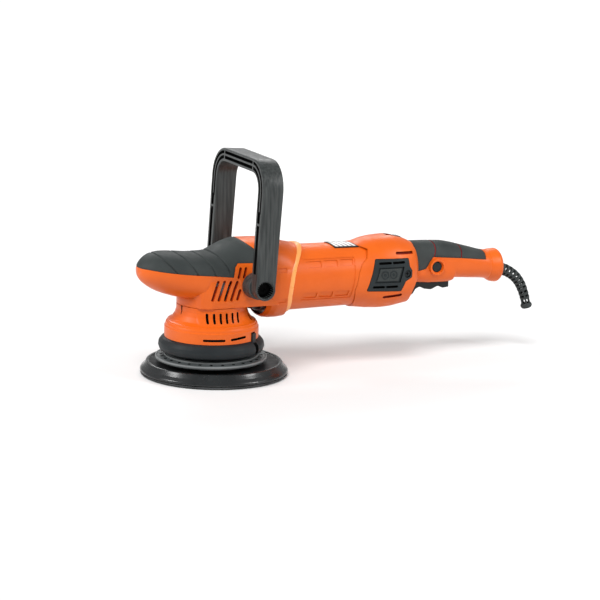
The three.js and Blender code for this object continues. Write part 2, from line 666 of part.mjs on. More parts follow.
function handleShells() {
  const rearBody = cut(moulded(REAR_BODY), prism('y', REAR_UNDERCUT, -60, 60));
  const outer = union(rearBody, moulded(HANDLE));
  const undercutWall = REAR_UNDERCUT.map(([x, z]) => [x - WALL, z + WALL]);
  const cavity = union(
    cut(moulded(REAR_BODY, WALL, 12), block(239, 250, -60, 60, 50, 160),
      prism('y', undercutWall, -60, 60)),
    moulded(HANDLE.slice(0, -3), GRIP_SKIN + WALL - 0.6, 12),
  );
  const motorAxis = { z: MOTOR_Z };
  const seat = ring('x', 16.5, 13.3, REAR_BEARING_X - 1, REAR_BEARING_X + 8, motorAxis);
  const web = block(REAR_BEARING_X, REAR_BEARING_X + 4, -14, 14, 50, 160)
    .subtract(disc('x', 15, 190, 230, motorAxis));
  const pillars = handleScrewPlaces.map((place) => disc('y', 4.8, -40, 40, place, SIDES.small));
  const inside = union(seat, web, ...pillars).intersect(union(
    moulded(REAR_BODY, 1, 12),
    moulded(HANDLE, GRIP_SKIN + 1, 12),
  ));
  const boss = disc('y', LOCK.boss, -22, -14, LOCK);
  const gripRecess = prism('y', grown(HANDLE_GRIP_ZONE, GAP), -40, 40)
    .subtract(block(200, 243.1, -60, 60, 50, 160))
    .subtract(moulded(HANDLE, GRIP_SKIN + GAP));
  const openings = [
    prism('y', grown(COVER_OUTLINE, 0.4), -60, -20),
    prism('y', grown(COVER_OUTLINE, 0.4), 20, 60),
    slot(197, 83.4, 217, 84.4, 3, -60, 60),
    slot(213, 133.2, 231, 133.4, 3, -60, 60),
    block(243.7, 296, -8, 8, 80, 100),
    disc('y', 1.7, -11, 11, TRIGGER_PIVOT, SIDES.small),
    block(DIAL.x - 12.6, DIAL.x + 12.6, -DIAL.halfWidth - 1, DIAL.halfWidth + 1, 134, 160),
    disc('y', LOCK.radius + GAP, -60, -5, LOCK),
    disc('x', TAIL_BORE.radius, 340, 370, { z: TAIL_BORE.z }),
    disc('x', TAIL_BORE.radius + 1.5, 343, 348, { z: TAIL_BORE.z }),
    ...handleScrewPlaces.map((place) => disc('y', 2.2, -10, 60, place, SIDES.small)),
    ...handleScrewPlaces.map((place) => disc('y', 3.9, SCREW_FLOOR - GAP, 60, place, SIDES.small)),
  ];
  const hollow = cut(outer, cavity).add(inside);
  const whole = cut(cut(hollow, gripRecess).add(boss), ...openings)
    .intersect(prism('y', towardsTail(BARREL_EDGE, 0, 420), -60, 60));
  return {
    left: whole.intersect(block(100, 400, -80, -GAP / 2, 0, 200)),
    right: whole.intersect(block(100, 400, GAP / 2, 80, 0, 200)),
  };
}

function handleGrip() {
  const skin = cut(moulded(HANDLE), moulded(HANDLE, GRIP_SKIN));
  return cut(
    skin.intersect(prism('y', HANDLE_GRIP_ZONE, -40, 40)),
    block(200, 243.7, -60, 60, 50, 160),
    disc('y', LOCK.boss + GAP, -60, -5, LOCK),
  );
}

function handleScrew(place) {
  const top = SCREW_FLOOR;
  const profile = [[0, -9], [1.9, -9], [1.9, top], [3.5, top], [3.5, top + 2.4], [0, top + 2.4]];
  return turned('y', profile, place, SIDES.small);
}

const COVER_SCREW = { x: 225.2, z: 108.6 };

function brushCover(side) {
  const skin = cut(moulded(REAR_BODY, -0.6), moulded(REAR_BODY, 4.6));
  const [low, high] = side < 0 ? [-60, -20] : [20, 60];
  const plate = skin.intersect(prism('y', COVER_OUTLINE, low, high));
  const louvres = [
    slot(189, 122.6, 202, 122.6, 2.6, low, high),
    slot(206, 122.6, 219, 122.6, 2.6, low, high),
    slot(183, 95.4, 196, 95.4, 2.6, low, high),
    slot(200, 95.4, 212, 95.4, 2.6, low, high),
  ];
  const [recessLow, recessHigh] = side < 0 ? [-60, -33] : [33, 60];
  return cut(
    plate,
    ...louvres,
    disc('y', 2, low, high, COVER_SCREW, SIDES.small),
    disc('y', 4.3, recessLow, recessHigh, COVER_SCREW, SIDES.small),
  );
}

function coverScrew(side) {
  const profile = [[0, 24], [1.7, 24], [1.7, 33.3], [3.9, 33.3], [3.9, 34.8], [0, 34.8]];
  return turned('y', profile.map(([r, y]) => [r, side * y]), COVER_SCREW, SIDES.small);
}

// A brass tube that guides the carbon brush towards the commutator.
function brushHolder(side) {
  const [low, high] = side < 0 ? [-30, -16] : [16, 30];
  const tube = block(BRUSH_X - 5, BRUSH_X + 5, low, high, MOTOR_Z - 6, MOTOR_Z + 6);
  return tube.subtract(
    block(BRUSH_X - 3.6, BRUSH_X + 3.6, -40, 40, MOTOR_Z - 4.6, MOTOR_Z + 4.6));
}

function carbonBrush(side) {
  const [low, high] = side < 0 ? [-27, -13.4] : [13.4, 27];
  return block(BRUSH_X - 3.2, BRUSH_X + 3.2, low, high, MOTOR_Z - 4.2, MOTOR_Z + 4.2);
}

function speedDial() {
  const knurls = 12;
  const outline = new THREE.Shape();
  for (let i = 0; i < 2 * knurls; i += 1) {
    const angle = (Math.PI * i) / knurls;
    const radius = DIAL.radius - (i % 2) * 0.8;
    const [x, z] = [DIAL.x + radius * Math.cos(angle), DIAL.z + radius * Math.sin(angle)];
    if (i === 0) outline.moveTo(x, z);
    else outline.lineTo(x, z);
  }
  const wheel = prism('y', outline, -DIAL.halfWidth, DIAL.halfWidth);
  return wheel.add(disc('y', 2.2, -7.5, 10, DIAL, SIDES.small));
}

function dialPotentiometer() {
  const body = block(DIAL.x - 6, DIAL.x + 6, 5.2, 10.6, DIAL.z - 7, DIAL.z + 4);
  return body.subtract(disc('y', 2.6, 0, 20, DIAL, SIDES.small));
}

function trigger() {
  const outline = [
    [244.4, 77], [244.4, 97], [246.6, 99], [292.5, 99], [292.5, 83.5], [285, 83.2],
    [278, 85.2], [270, 82.4], [261, 82.8], [254, 86], [249.5, 83.4], [246.6, 79.2],
  ];
  const pin = disc('y', 1.4, -10.4, 10.4, TRIGGER_PIVOT, SIDES.small);
  return prism('y', outline, -7.3, 7.3).add(pin);
}

function lockButton() {
  const { radius } = LOCK;
  const profile = [
    [0, -23], [radius - 0.8, -23], [radius, -22.2], [radius, -13.6], [radius + 1.4, -13.6],
    [radius + 1.4, -12.2], [0, -12.2],
  ];
  return turned('y', profile, LOCK);
}

function cordClamp() {
  return block(322, 330, -6.8, 6.8, 99, 104)
    .subtract(disc('x', 4, 320, 335, { z: 104.6 }, SIDES.small));
}

// The bend relief hangs from the tail in one smooth curve and is open at both ends.
function cordGuard() {
  const route = new THREE.CatmullRomCurve3([
    new THREE.Vector3(343.5, 0, TAIL_BORE.z),
    new THREE.Vector3(352, 0, TAIL_BORE.z),
    new THREE.Vector3(361, 0, 100.6),
    new THREE.Vector3(372, 0, 97),
    new THREE.Vector3(383, 0, 89.8),
    new THREE.Vector3(391, 0, 79.8),
    new THREE.Vector3(396.6, 0, 67),
    new THREE.Vector3(401, 0, 51.5),
  ]);
  const steps = 14;
  const tube = (radiusAt, overshoot) => {
    const rings = [];
    for (let i = 0; i <= steps; i += 1) {
      const t = i / steps;
      const ahead = route.getTangent(t);
      const past = i === 0 ? -overshoot : i === steps ? overshoot : 0;
      const place = route.getPoint(t).addScaledVector(ahead, past);
      const up = new THREE.Vector3().crossVectors(ahead, AXES.y);
      const radius = radiusAt(t);
      rings.push(Array.from({ length: 10 }, (_, k) => {
        const angle = (2 * Math.PI * k) / 10;
        return place.clone()
          .addScaledVector(AXES.y, radius * Math.cos(angle))
          .addScaledVector(up, radius * Math.sin(angle));
      }));
    }
    return loft(rings);
  };
  const taper = (t) => 7.1 - 1.5 * THREE.MathUtils.smoothstep(t, 0.3, 0.9);
  const outer = tube((t) => (t < 0.06 ? 9.2 : taper(t) + (t > 0.95 ? 1.2 : 0)), 0);
  return outer.subtract(tube(() => 3.7, 1));
}

function labelPlate() {
  const skin = ring('x', 37.4, 36.9, 135, 172, { z: MOTOR_Z }, 72);
  const outline = [[137.5, 3.5], [142, -15.5], [169.5, -16.5], [161.5, -4]];
  return skin.intersect(prism('z', outline, MOTOR_Z + 20, MOTOR_Z + 50));
}

// ---------------------------------------------------------------- bail handle

const STRAP = { thickness: 15, bottomHalf: 11.7, topHalf: 12.6, cornerRadius: 34 };
const LEAN = THREE.MathUtils.degToRad(BAIL_LEAN);
// Height of the strap's top above its pivot, before the handle leans.
const STRAP_RISE =
  (BAIL_TOP - BAIL_PIVOT.z - STRAP.topHalf * Math.sin(LEAN)) / Math.cos(LEAN);

// The band of the upturned U that lies between two depths below its outer surface.
function strapBand(from, to, bottom) {
  const arch = (path, depth, backwards) => {
    const half = BAIL_HALF_WIDTH - depth;
    const radius = Math.max(STRAP.cornerRadius - depth, 4);
    const shoulder = STRAP_RISE - depth - radius;
    const sign = backwards ? -1 : 1;
    path.lineTo(-half * sign, backwards ? shoulder : bottom);
    if (!backwards) path.lineTo(-half, shoulder);
    const corners = backwards ? [[1, 0, 90], [-1, 90, 180]] : [[-1, 180, 90], [1, 90, 0]];
    for (const [side, start, end] of corners) {
      const [a0, a1] = [start, end].map(THREE.MathUtils.degToRad);
      path.absarc(side * (half - radius), shoulder, radius, a0, a1, !backwards);
    }
    path.lineTo(half * sign, bottom);
  };
  const shape = new THREE.Shape();
  shape.moveTo(-(BAIL_HALF_WIDTH - from), bottom);
  arch(shape, from, false);
  shape.lineTo(BAIL_HALF_WIDTH - to, bottom);
  arch(shape, to, true);
  return shape;
}

// Built upright about its pivot, with the strap's open side towards the nose.
function bailHandle() {
  const { thickness, bottomHalf, topHalf } = STRAP;
  const side = new THREE.Shape();
  side.moveTo(topHalf, STRAP_RISE + 1);
  side.lineTo(bottomHalf, 0);
  side.absarc(0, 0, bottomHalf, 0, -Math.PI, true);
  side.lineTo(-topHalf, STRAP_RISE + 1);
  const strap = prism('x', strapBand(0, thickness, -20), -20, 20)
    .intersect(prism('y', side, -90, 90));
  const rib = 2.2;
  const ribs = [
    block(-20, 20, -90, 90, 72, 72 + rib),
    block(-20, 20, -90, 90, STRAP_RISE - 20, STRAP_RISE).intersect(union(
      block(-20, 20, -40, -40 + rib, 0, 200),
      block(-20, 20, 40 - rib, 40, 0, 200),
    )),
    prism('x', strapBand(6.2, 8.4, 90), -20, 20),
  ];
  const channel = cut(prism('x', strapBand(2.8, thickness - 2.8, 17), -20, 7), ...ribs);
  const bores = [-1, 1].flatMap((end) => {
    const [low, high] = end < 0 ? [-90, -61.2] : [61.2, 90];
    return [
      disc('y', 9.8, low, high, {}),
      disc('y', 4.4, end < 0 ? -70 : 50, end < 0 ? -50 : 70, {}),
    ];
  });
  return cut(strap, channel, ...bores);
}

function bailHub(side) {
  const profile = [[4.4, 40.9], [14.4, 40.9], [14, 47], [13.2, 57.9], [4.4, 57.9]];
  return turned('y', profile.map(([r, y]) => [r, side * y]), BAIL_PIVOT);
}

function bailBolt(side) {
  const profile = [[0, 20], [4, 20], [4, 61.5], [6.4, 61.5], [6.4, 66], [0, 66]];
  return turned('y', profile.map(([r, y]) => [r, side * y]), BAIL_PIVOT, SIDES.small);
}

// ---------------------------------------------------------------- assembly

function piece(name, body, material) {
  const mesh = new THREE.Mesh(geometryOf(body), material);
  mesh.name = name;
  return mesh;
}

function group(...meshes) {
  const assembly = new THREE.Group();
  assembly.add(...meshes);
  return assembly;
}

const shells = handleShells();

const head = group(
  piece('head_cover', headCover(), orangePlastic),
  piece('palm_grip', palmGrip(), blackRubber),
  piece('head_skirt', headSkirt(), orangePlastic),
  piece('shroud_ring', shroudRing(), blackRubber),
  piece('gear_case', gearCase(), castAluminium),
  piece('bearing_plate', bearingPlate(), castAluminium),
  ...caseScrewPlaces().map((place, i) => piece(`case_screw_${i + 1}`, caseScrew(place), steel)),
);

const motor = group(
  piece('motor_housing', motorHousing(), orangePlastic),
  piece('label_plate', labelPlate(), labelStock),
  piece('stator', stator(), steel),
  piece('field_coil_upper', fieldCoil(1), copper),
  piece('field_coil_lower', fieldCoil(-1), copper),
  piece('air_baffle', airBaffle(), blackPlastic),
  piece('front_bearing', bearing('x', 13, 4.8, 37, 47, { z: MOTOR_Z }), steel),
  piece('rear_bearing',
    bearing('x', 13, 4.8, REAR_BEARING_X, REAR_BEARING_X + 7, { z: MOTOR_Z }), steel),
  piece('armature_shaft', armatureShaft(), steel),
  piece('armature_core', armatureCore(), steel),
  piece('commutator', commutator(), copper),
  piece('cooling_fan', coolingFan(), blackPlastic),
);

const spindle = group(
  piece('upper_spindle_bearing', bearing('z', 10.8, 6.3, 112, 120, SPINDLE_AXIS), steel),
  piece('lower_spindle_bearing', bearing('z', 17.5, 8.3, 66.5, 77.5, SPINDLE_AXIS), steel),
  piece('output_spindle', outputSpindle(), steel),
  piece('crown_gear', crownGear(), steel),
  piece('counterweight', counterweight(), steel),
  piece('orbit_bearing', bearing('z', 16, 8.3, 25, 37, PAD_CENTRE), steel),
  piece('vent_disc', ventDisc(), blackPlastic),
);

const pad = group(
  piece('pad_spindle', padSpindle(), steel),
  piece('backing_plate', backingPlate(), blackRubber),
  piece('hook_face', hookFace(), hookFibre),
  piece('plate_bolt', plateBolt(), steel),
);

const handle = group(
  piece('handle_shell_left', shells.left, orangePlastic),
  piece('handle_shell_right', shells.right, orangePlastic),
  piece('handle_grip', handleGrip(), blackRubber),
  piece('switch_body', block(260, 288, -9, 9, 103.8, 121), blackPlastic),
  piece('speed_control', block(219, 229, -14, 14, 92, 112), greyPlastic),
  piece('dial_potentiometer', dialPotentiometer(), blackPlastic),
  piece('speed_dial', speedDial(), blackPlastic),
  piece('trigger', trigger(), blackPlastic),
  piece('lock_button', lockButton(), blackPlastic),
  piece('cord_clamp', cordClamp(), blackPlastic),
  piece('cord_guard', cordGuard(), blackRubber),
  ...handleScrewPlaces.map((place, i) =>
    piece(`handle_screw_${i + 1}`, handleScrew(place), steel)),
);

const brushes = group(...[['left', -1], ['right', 1]].flatMap(([name, side]) => [
  piece(`brush_holder_${name}`, brushHolder(side), copper),
  piece(`carbon_brush_${name}`, carbonBrush(side), carbon),
  piece(`brush_cover_${name}`, brushCover(side), greyPlastic),
  piece(`brush_cover_screw_${name}`, coverScrew(side), steel),
]));

const bail = group(...[['left', -1], ['right', 1]].flatMap(([name, side]) => [
  piece(`bail_hub_${name}`, bailHub(side), blackPlastic),
  piece(`bail_bolt_${name}`, bailBolt(side), steel),
]));
const bailMesh = piece('bail_handle', bailHandle(), blackPlastic);
bailMesh.position.set(BAIL_PIVOT.x, 0, BAIL_PIVOT.z);
bailMesh.rotation.y = LEAN;
bail.add(bailMesh);

const polisher = new THREE.Group();
polisher.add(head, motor, spindle, pad, handle, brushes, bail);

export default polisher;
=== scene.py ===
# Looks for the polisher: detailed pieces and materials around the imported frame.
# Lengths in the tables are millimetres; every object is made in metres.
import json
import math

import bmesh
import bpy
import numpy as np
from mathutils import Matrix, Vector


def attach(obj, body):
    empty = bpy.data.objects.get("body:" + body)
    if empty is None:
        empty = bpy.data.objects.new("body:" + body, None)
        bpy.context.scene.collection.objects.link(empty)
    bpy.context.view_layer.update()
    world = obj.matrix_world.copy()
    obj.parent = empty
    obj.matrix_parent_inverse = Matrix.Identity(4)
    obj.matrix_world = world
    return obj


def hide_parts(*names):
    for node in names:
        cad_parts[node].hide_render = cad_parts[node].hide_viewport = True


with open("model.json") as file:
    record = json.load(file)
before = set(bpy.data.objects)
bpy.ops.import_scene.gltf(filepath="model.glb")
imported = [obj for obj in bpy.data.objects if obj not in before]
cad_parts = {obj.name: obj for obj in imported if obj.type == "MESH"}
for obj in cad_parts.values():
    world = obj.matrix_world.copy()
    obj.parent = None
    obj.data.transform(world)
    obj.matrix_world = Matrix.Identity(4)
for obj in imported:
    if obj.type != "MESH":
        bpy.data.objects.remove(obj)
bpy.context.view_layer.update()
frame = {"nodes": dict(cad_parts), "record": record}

MM = 0.001
MOTOR_Z = 106.5
PIVOT_X, PIVOT_Z = 33.4, 108.4
PIVOT = (PIVOT_X, 0, PIVOT_Z)
ORBIT_RADIUS, ORBIT_ANGLE = 10.5, math.radians(48)
PAD = (ORBIT_RADIUS * math.cos(ORBIT_ANGLE), ORBIT_RADIUS * math.sin(ORBIT_ANGLE), 0)
SPINDLE = (0, 0, 0)
MOTOR = (0, 0, MOTOR_Z)
HOUSING, SPIN, PAD_BODY, BAIL = "housing", "spindle", "pad", "bail"

# ---- materials


def nodes_of(name, colour, roughness, metallic=0.0, specular=0.5):
    """A new material with constant values: the material, its node tree and its shader."""
    made = bpy.data.materials.new(name)
    made.use_nodes = True
    tree = made.node_tree
    shader = tree.nodes["Principled BSDF"]
    shader.inputs["Base Color"].default_value = (*colour, 1)
    shader.inputs["Roughness"].default_value = roughness
    shader.inputs["Metallic"].default_value = metallic
    shader.inputs["Specular IOR Level"].default_value = specular
    return made, tree, shader


def add(tree, kind, inputs, **settings):
    """The outputs of a new node, whose inputs are values or other nodes' outputs."""
    made = tree.nodes.new("ShaderNode" + kind)
    for setting, value in settings.items():
        setattr(made, setting, value)
    for socket, value in inputs.items():
        if isinstance(value, bpy.types.NodeSocket):
            tree.links.new(value, made.inputs[socket])
        else:
            made.inputs[socket].default_value = value
    return made.outputs


def noise(tree, scale, detail=3, stretch=(1, 1, 1)):
    """A noise value in object space; scale is in waves per metre."""
    place = add(tree, "TexCoord", {})["Object"]
    mapped = add(tree, "Mapping", {"Vector": place, "Scale": stretch})["Vector"]
    return add(tree, "TexNoise", {"Vector": mapped, "Scale": scale, "Detail": detail})["Fac"]


def remap(tree, value, low, high, start=0.3, end=0.7):
    """A value's span from start to end, carried to the span from low to high."""
    return add(tree, "MapRange", {"Value": value, "From Min": start, "From Max": end,
                                  "To Min": low, "To Max": high})["Result"]


def mix(tree, factor, first, second):
    """A blend of two colours."""
    first, second = ((*c, 1) if isinstance(c, tuple) else c for c in (first, second))
    return add(tree, "Mix", {0: factor, 6: first, 7: second}, data_type="RGBA")[2]


CLOUDS, STREAKS, GLOSS_PATCHES = 28, 420, 90  # waves per metre
COAT_ROUGHNESS = 0.18


def surface(name, light, dark, roughness, grain=1500, depth=0.05, metallic=0.0,
            specular=0.5, stretch=(1, 1, 1), spread=0.07, coat=0.0, streaks=False):
    """Plastic, rubber or metal: two close tones, uneven gloss and a grain of depth mm."""
    made, tree, shader = nodes_of(name, light, roughness, metallic, specular)
    if coat:
        shader.inputs["Coat Weight"].default_value = coat
        shader.inputs["Coat Roughness"].default_value = COAT_ROUGHNESS
    cloud = noise(tree, STREAKS if streaks else CLOUDS, 4, stretch)
    colour = mix(tree, remap(tree, cloud, 0, 1), light, dark)
    tree.links.new(colour, shader.inputs["Base Color"])
    patches = noise(tree, GLOSS_PATCHES, 3, stretch)
    gloss = remap(tree, patches, roughness - spread, roughness + spread)
    tree.links.new(gloss, shader.inputs["Roughness"])
    raised = add(tree, "Bump", {"Height": noise(tree, grain, 2, stretch), "Strength": 0.35,
                                "Distance": depth * MM})["Normal"]
    tree.links.new(raised, shader.inputs["Normal"])
    return made


orange = surface("orange_shell", (0.70, 0.117, 0.006), (0.63, 0.098, 0.0045), 0.4, specular=0.36)
# Light peachy orange: a painted highlight on the band between the head and the barrel.
painted_highlight_orange = surface("painted_highlight_orange", (0.95, 0.39, 0.105), (0.90, 0.34, 0.085), 0.34)
# Dark red-brown: painted shade on the orange shells' inner faces, cut faces and vent floors.
painted_shade_orange = surface("painted_shade_orange", (0.20, 0.016, 0.004), (0.12, 0.009, 0.003), 0.7, specular=0.2)
# Darker orange: painted shade on the walls of the vents and slots.
painted_shade_slot_orange = surface("painted_shade_slot_orange", (0.56, 0.060, 0.005), (0.44, 0.042, 0.004), 0.6, specular=0.2)
line_red = surface("line_red", (0.34, 0.018, 0.022), (0.22, 0.010, 0.014), 0.5)
grip_black = surface("grip_black", (0.046, 0.052, 0.051), (0.032, 0.037, 0.037), 0.6,
                     grain=900, depth=0.14, specular=0.18)
bail_black = surface("bail_black", (0.052, 0.057, 0.056), (0.014, 0.017, 0.017), 0.42,
                     grain=700, depth=0.09, stretch=(1, 1, 0.07), specular=0.4,
                     streaks=True)
black_plastic = surface("black_plastic", (0.012, 0.015, 0.016), (0.007, 0.009, 0.010), 0.4,
                        specular=0.28)
cover_grey = surface("cover_grey", (0.021, 0.027, 0.029), (0.014, 0.019, 0.021), 0.5, specular=0.22)
disc_grey = surface("disc_grey", (0.066, 0.073, 0.075), (0.046, 0.052, 0.054), 0.42)
shroud_rubber = surface("shroud_rubber", (0.018, 0.022, 0.024), (0.010, 0.013, 0.015), 0.52,
                        specular=0.28)
pad_rubber = surface("pad_rubber", (0.010, 0.012, 0.013), (0.006, 0.007, 0.008), 0.28,
                     grain=700, depth=0.05, coat=0.22)
# Light grey: painted highlights on the two rim beads of the vented disc.
painted_highlight_grey = surface("painted_highlight_rim", (0.21, 0.225, 0.225), (0.13, 0.14, 0.142), 0.4)
matte_black = surface("matte_black", (0.010, 0.011, 0.012), (0.006, 0.007, 0.008), 0.66, specular=0.3)
# Near-black and nearly without gloss: the pivot bolts' own black, and painted shade on the faces of
# holes, slots, recesses, louvres, channels and bores.
black_and_painted_shade = surface("black_and_painted_shade", (0.004, 0.004, 0.004), (0.002, 0.002, 0.002), 0.8, specular=0.1)
steel = surface("turned_steel", (0.56, 0.57, 0.58), (0.42, 0.43, 0.44), 0.32,
                metallic=1.0, stretch=(1, 1, 6))
aluminium = surface("cast_aluminium", (0.50, 0.51, 0.52), (0.38, 0.39, 0.40), 0.5,
                    grain=600, depth=0.2, metallic=1.0)
copper = surface("copper", (0.60, 0.25, 0.11), (0.45, 0.17, 0.07), 0.38, metallic=1.0,
                 stretch=(1, 8, 8))
carbon = surface("carbon", (0.018, 0.018, 0.018), (0.010, 0.010, 0.010), 0.75)
fibre = surface("hook_fibre", (0.085, 0.088, 0.090), (0.020, 0.021, 0.022), 0.85, grain=1600, depth=0.8)

# ---- outlines, shared with the frame

# [x, top, belt, bottom, half width, squareness above the belt, squareness below it]
HEAD = [
    [-89.5, 125.6, 124, 122, 1.5, 2, 2],
    [-88, 130.5, 124, 116.5, 9, 2, 2],
    [-84.5, 135.4, 124, 111.5, 15.5, 2, 2],
    [-79, 139.6, 124, 107, 22, 2.1, 2],
    [-71, 142.8, 124, 102, 28.2, 2.2, 2.1],
    [-60, 144, 123.5, 97.5, 33, 2.3, 2.2],
    [-44, 143, 122.5, 93.2, 36.8, 2.3, 2.5],
    [-25, 141.4, 121.5, 91.6, 37.6, 2.3, 3.2],
    [-8, 141.6, 120.5, 91.4, 38.2, 2.3, 4],
    [5, 146.5, 119.5, 91.2, 38.8, 2.3, 4.5],
    [17, 152.4, 118.5, 91, 39.6, 2.3, 4.5],
    [30, 155.1, 118, 90.6, 40.4, 2.4, 4.5],
    [56, 154.6, 116, 90.4, 41, 2.4, 4.5],
    [66, 154, 114, 90.2, 41.4, 2.4, 4.5],
    [76, 151.8, 112, 90, 41.4, 2.3, 4],
    [88, 147, 110, 89, 40.4, 2.1, 3],
    [99, 142.6, 108, 88, 38.6, 2, 2.5],
]
REAR_BODY = [
    [150, 142.6, 106.5, 70.2, 36.2, 2, 2],
    [171, 143.4, 106.5, 68, 36.8, 2.1, 2.1],
    [187, 147.3, 106.5, 66.2, 37.2, 2.2, 2.2],
    [200, 148.6, 106.5, 65.8, 37.4, 2.4, 2.4],
    [213, 149, 106.5, 66.6, 37.2, 2.5, 2.5],
    [224, 147, 106.5, 68.4, 36, 2.5, 2.5],
    [234, 144, 106.5, 70, 33.5, 2.5, 2.6],
    [240, 140.8, 106.5, 71, 30, 2.5, 3],
    [243.4, 137, 106.5, 72.4, 26, 2.5, 3],
]
HANDLE = [
    [228, 139.8, 113, 92, 18, 2.4, 3],
    [246, 139.6, 113, 92, 19.4, 2.4, 3],
    [265, 139, 113, 90.8, 20.6, 2.4, 3.2],
    [284, 137.8, 112, 90.4, 21, 2.4, 3.2],
    [293.6, 136, 111.3, 91.3, 21, 2.4, 3],
    [295.4, 135.6, 111.2, 94.5, 20.9, 2.4, 2.6],
    [322, 128.4, 109, 92.6, 19.8, 2.3, 2.4],
    [337, 124.4, 107.5, 91.2, 19, 2.2, 2.2],
    [342, 123.8, 106.5, 90, 18.8, 2.1, 2.1],
    [349, 124.6, 105.2, 86.2, 19.4, 2, 2],
    [354.5, 124.8, 105, 85.4, 19.7, 2, 2],
    [358.5, 122.4, 105, 87.8, 17.4, 2, 2],
    [360.5, 118.5, 105, 91.5, 13.5, 2, 2],
]
PALM_ZONE = [
    [-95, 128.5], [-81, 128], [-60, 125.6], [-32, 122.4], [-8, 120], [9.5, 118], [11.5, 129],
    [15, 133.4], [37, 133], [46, 139.5], [24, 158], [-95, 158],
]
HEAD_EDGE = [
    [98.5, 146], [94, 142], [86.5, 133], [80.7, 124], [77.2, 114], [75.3, 103], [74.8, 92],
    [77, 80], [80, 68],
]
BARREL_EDGE = [
    [163.5, 150], [164, 143], [175, 139.4], [180, 137.6], [176.3, 128.4], [168.5, 122],
    [164.4, 113], [160.6, 93], [163, 80], [166, 70],
]
HANDLE_GRIP_ZONE = [
    [226, 106], [243, 106.6], [256, 109.5], [260, 115], [265, 122.9], [300, 119.8],
    [335, 115.6], [338, 127], [340, 150], [226, 150],
]
HEAD_BASE = [[-33, -20], [-27, -34], [-16, -39.4], [66, -39.4], [66, 39.4], [-16, 39.4], [-27, 34],
             [-33, 20]]
REAR_UNDERCUT = [
    [260, 55], [232.6, 55], [233, 80], [234.6, 88], [238, 96.4], [243.6, 103.4], [260, 103.4],
]
COVER_OUTLINE = [
    [185, 127.2], [226.6, 126.2], [227.8, 116.6], [231.2, 112], [231, 104.4], [222.6, 100.4],
    [217.6, 89.2], [174.6, 91.4],
]

# ---- mesh tools


def placed(name, data):
    """A new object in the scene with this mesh, lamp or camera."""
    made = bpy.data.objects.new(name, data)
    bpy.context.scene.collection.objects.link(made)
    return made


def make(vertices, faces, material=None, name="piece"):
    """A mesh object from points in millimetres."""
    mesh = bpy.data.meshes.new(name)
    mesh.from_pydata([Vector(v) * MM for v in vertices], [], faces)
    mesh.validate()
    if material:
        mesh.materials.append(material)
    return placed(name, mesh)


def solid(vertices, faces, material, name="piece"):
    """A closed mesh object with every face turned outwards."""
    made = make(vertices, faces, material, name)
    shape = bmesh.new()
    shape.from_mesh(made.data)
    bmesh.ops.recalc_face_normals(shape, faces=shape.faces)
    shape.to_mesh(made.data)
    shape.free()
    return made


def ring_faces(rows, sides, closed):
    """The faces between rings of points; a closed set also joins the last ring to the first."""
    faces = []
    for r in range(rows if closed else rows - 1):
        a, b = r * sides, (r + 1) % rows * sides
        for k in range(sides):
            n = (k + 1) % sides
            faces.append((a + k, a + n, b + n, b + k))
    return faces


PAST_SIDE = 60  # a place along Y past the housing's sides


def span(side, near, far=PAST_SIDE):
    """The stretch of Y between two distances from the middle, on one side of the tool."""
    return sorted((side * near, side * far))


def mirrored(profile, side):
    """A profile's places along Y, put on one side of the tool."""
    return [(radius, side * along) for radius, along in profile]


def both_sides(near):
    """The stretch of Y from near outwards, on the left and on the right."""
    return span(-1, near), span(1, near)


def oblong(u0, u1, v0, v1):
    """The corners of a rectangle."""
    return [[u0, v0], [u1, v0], [u1, v1], [u0, v1]]


def dots(radius, count, u=0.0, v=0.0, start=0.0):
    """Points evenly spaced round a centre; start is a share of one step."""
    turns = [2 * math.pi * (k + start) / count for k in range(count)]
    return [(u + radius * math.cos(turn), v + radius * math.sin(turn)) for turn in turns]


def loft(rings, material=None):
    """A closed solid through rings of points; each end is closed by a fan."""
    count = len(rings[0])
    points = [tuple(p) for ring in rings for p in ring]
    faces = ring_faces(len(rings), count, False)
    for end, last in ((0, False), (len(rings) - 1, True)):
        points.append(tuple(np.mean(np.array(rings[end]), axis=0)))
        for i in range(count):
            a, b = end * count + i, end * count + (i + 1) % count
            faces.append((a, b, len(points) - 1) if last else (b, a, len(points) - 1))
    return solid(points, faces, material)


def line_lengths(points):
    """How far along a line each of its points is."""
    steps = np.linalg.norm(np.diff(points, axis=0), axis=1)
    return np.concatenate([[0], np.cumsum(steps)])


def smooth_table(rows, steps):
    """Rows interpolated with monotone cubics along their own length."""
    table = np.array(rows, float)
    along = line_lengths(table[:, [0, 1, 3, 4]])
    places = np.unique(np.concatenate([np.linspace(0, along[-1], steps), along]))
    spans = np.diff(along)[:, None]
    slopes = np.diff(table, axis=0) / spans
    before, after = slopes[:-1], slopes[1:]
    w1 = 2 * spans[1:] + spans[:-1]
    w2 = spans[1:] + 2 * spans[:-1]
    with np.errstate(divide="ignore", invalid="ignore"):
        between = np.where(before * after > 0, (w1 + w2) / (w1 / before + w2 / after), 0)
    tangents = np.vstack([slopes[:1], between, slopes[-1:]])
    which = np.clip(np.searchsorted(along, places, side="right") - 1, 0, len(spans) - 1)
    h = spans[which]
    t = (places - along[which])[:, None] / h
    return (
        (2 * t**3 - 3 * t**2 + 1) * table[which]
        + (t**3 - 2 * t**2 + t) * h * tangents[which]
        + (3 * t**2 - 2 * t**3) * table[which + 1]
        + (t**3 - t**2) * h * tangents[which + 1]
    )


def even_ring(points, count):
    """A closed line's points moved to equal spacing along it."""
    closed = np.vstack([points, points[:1]])
    along = line_lengths(closed)
    places = np.linspace(0, along[-1], count, endpoint=False)
    return np.column_stack([np.interp(places, along, closed[:, k]) for k in range(3)])


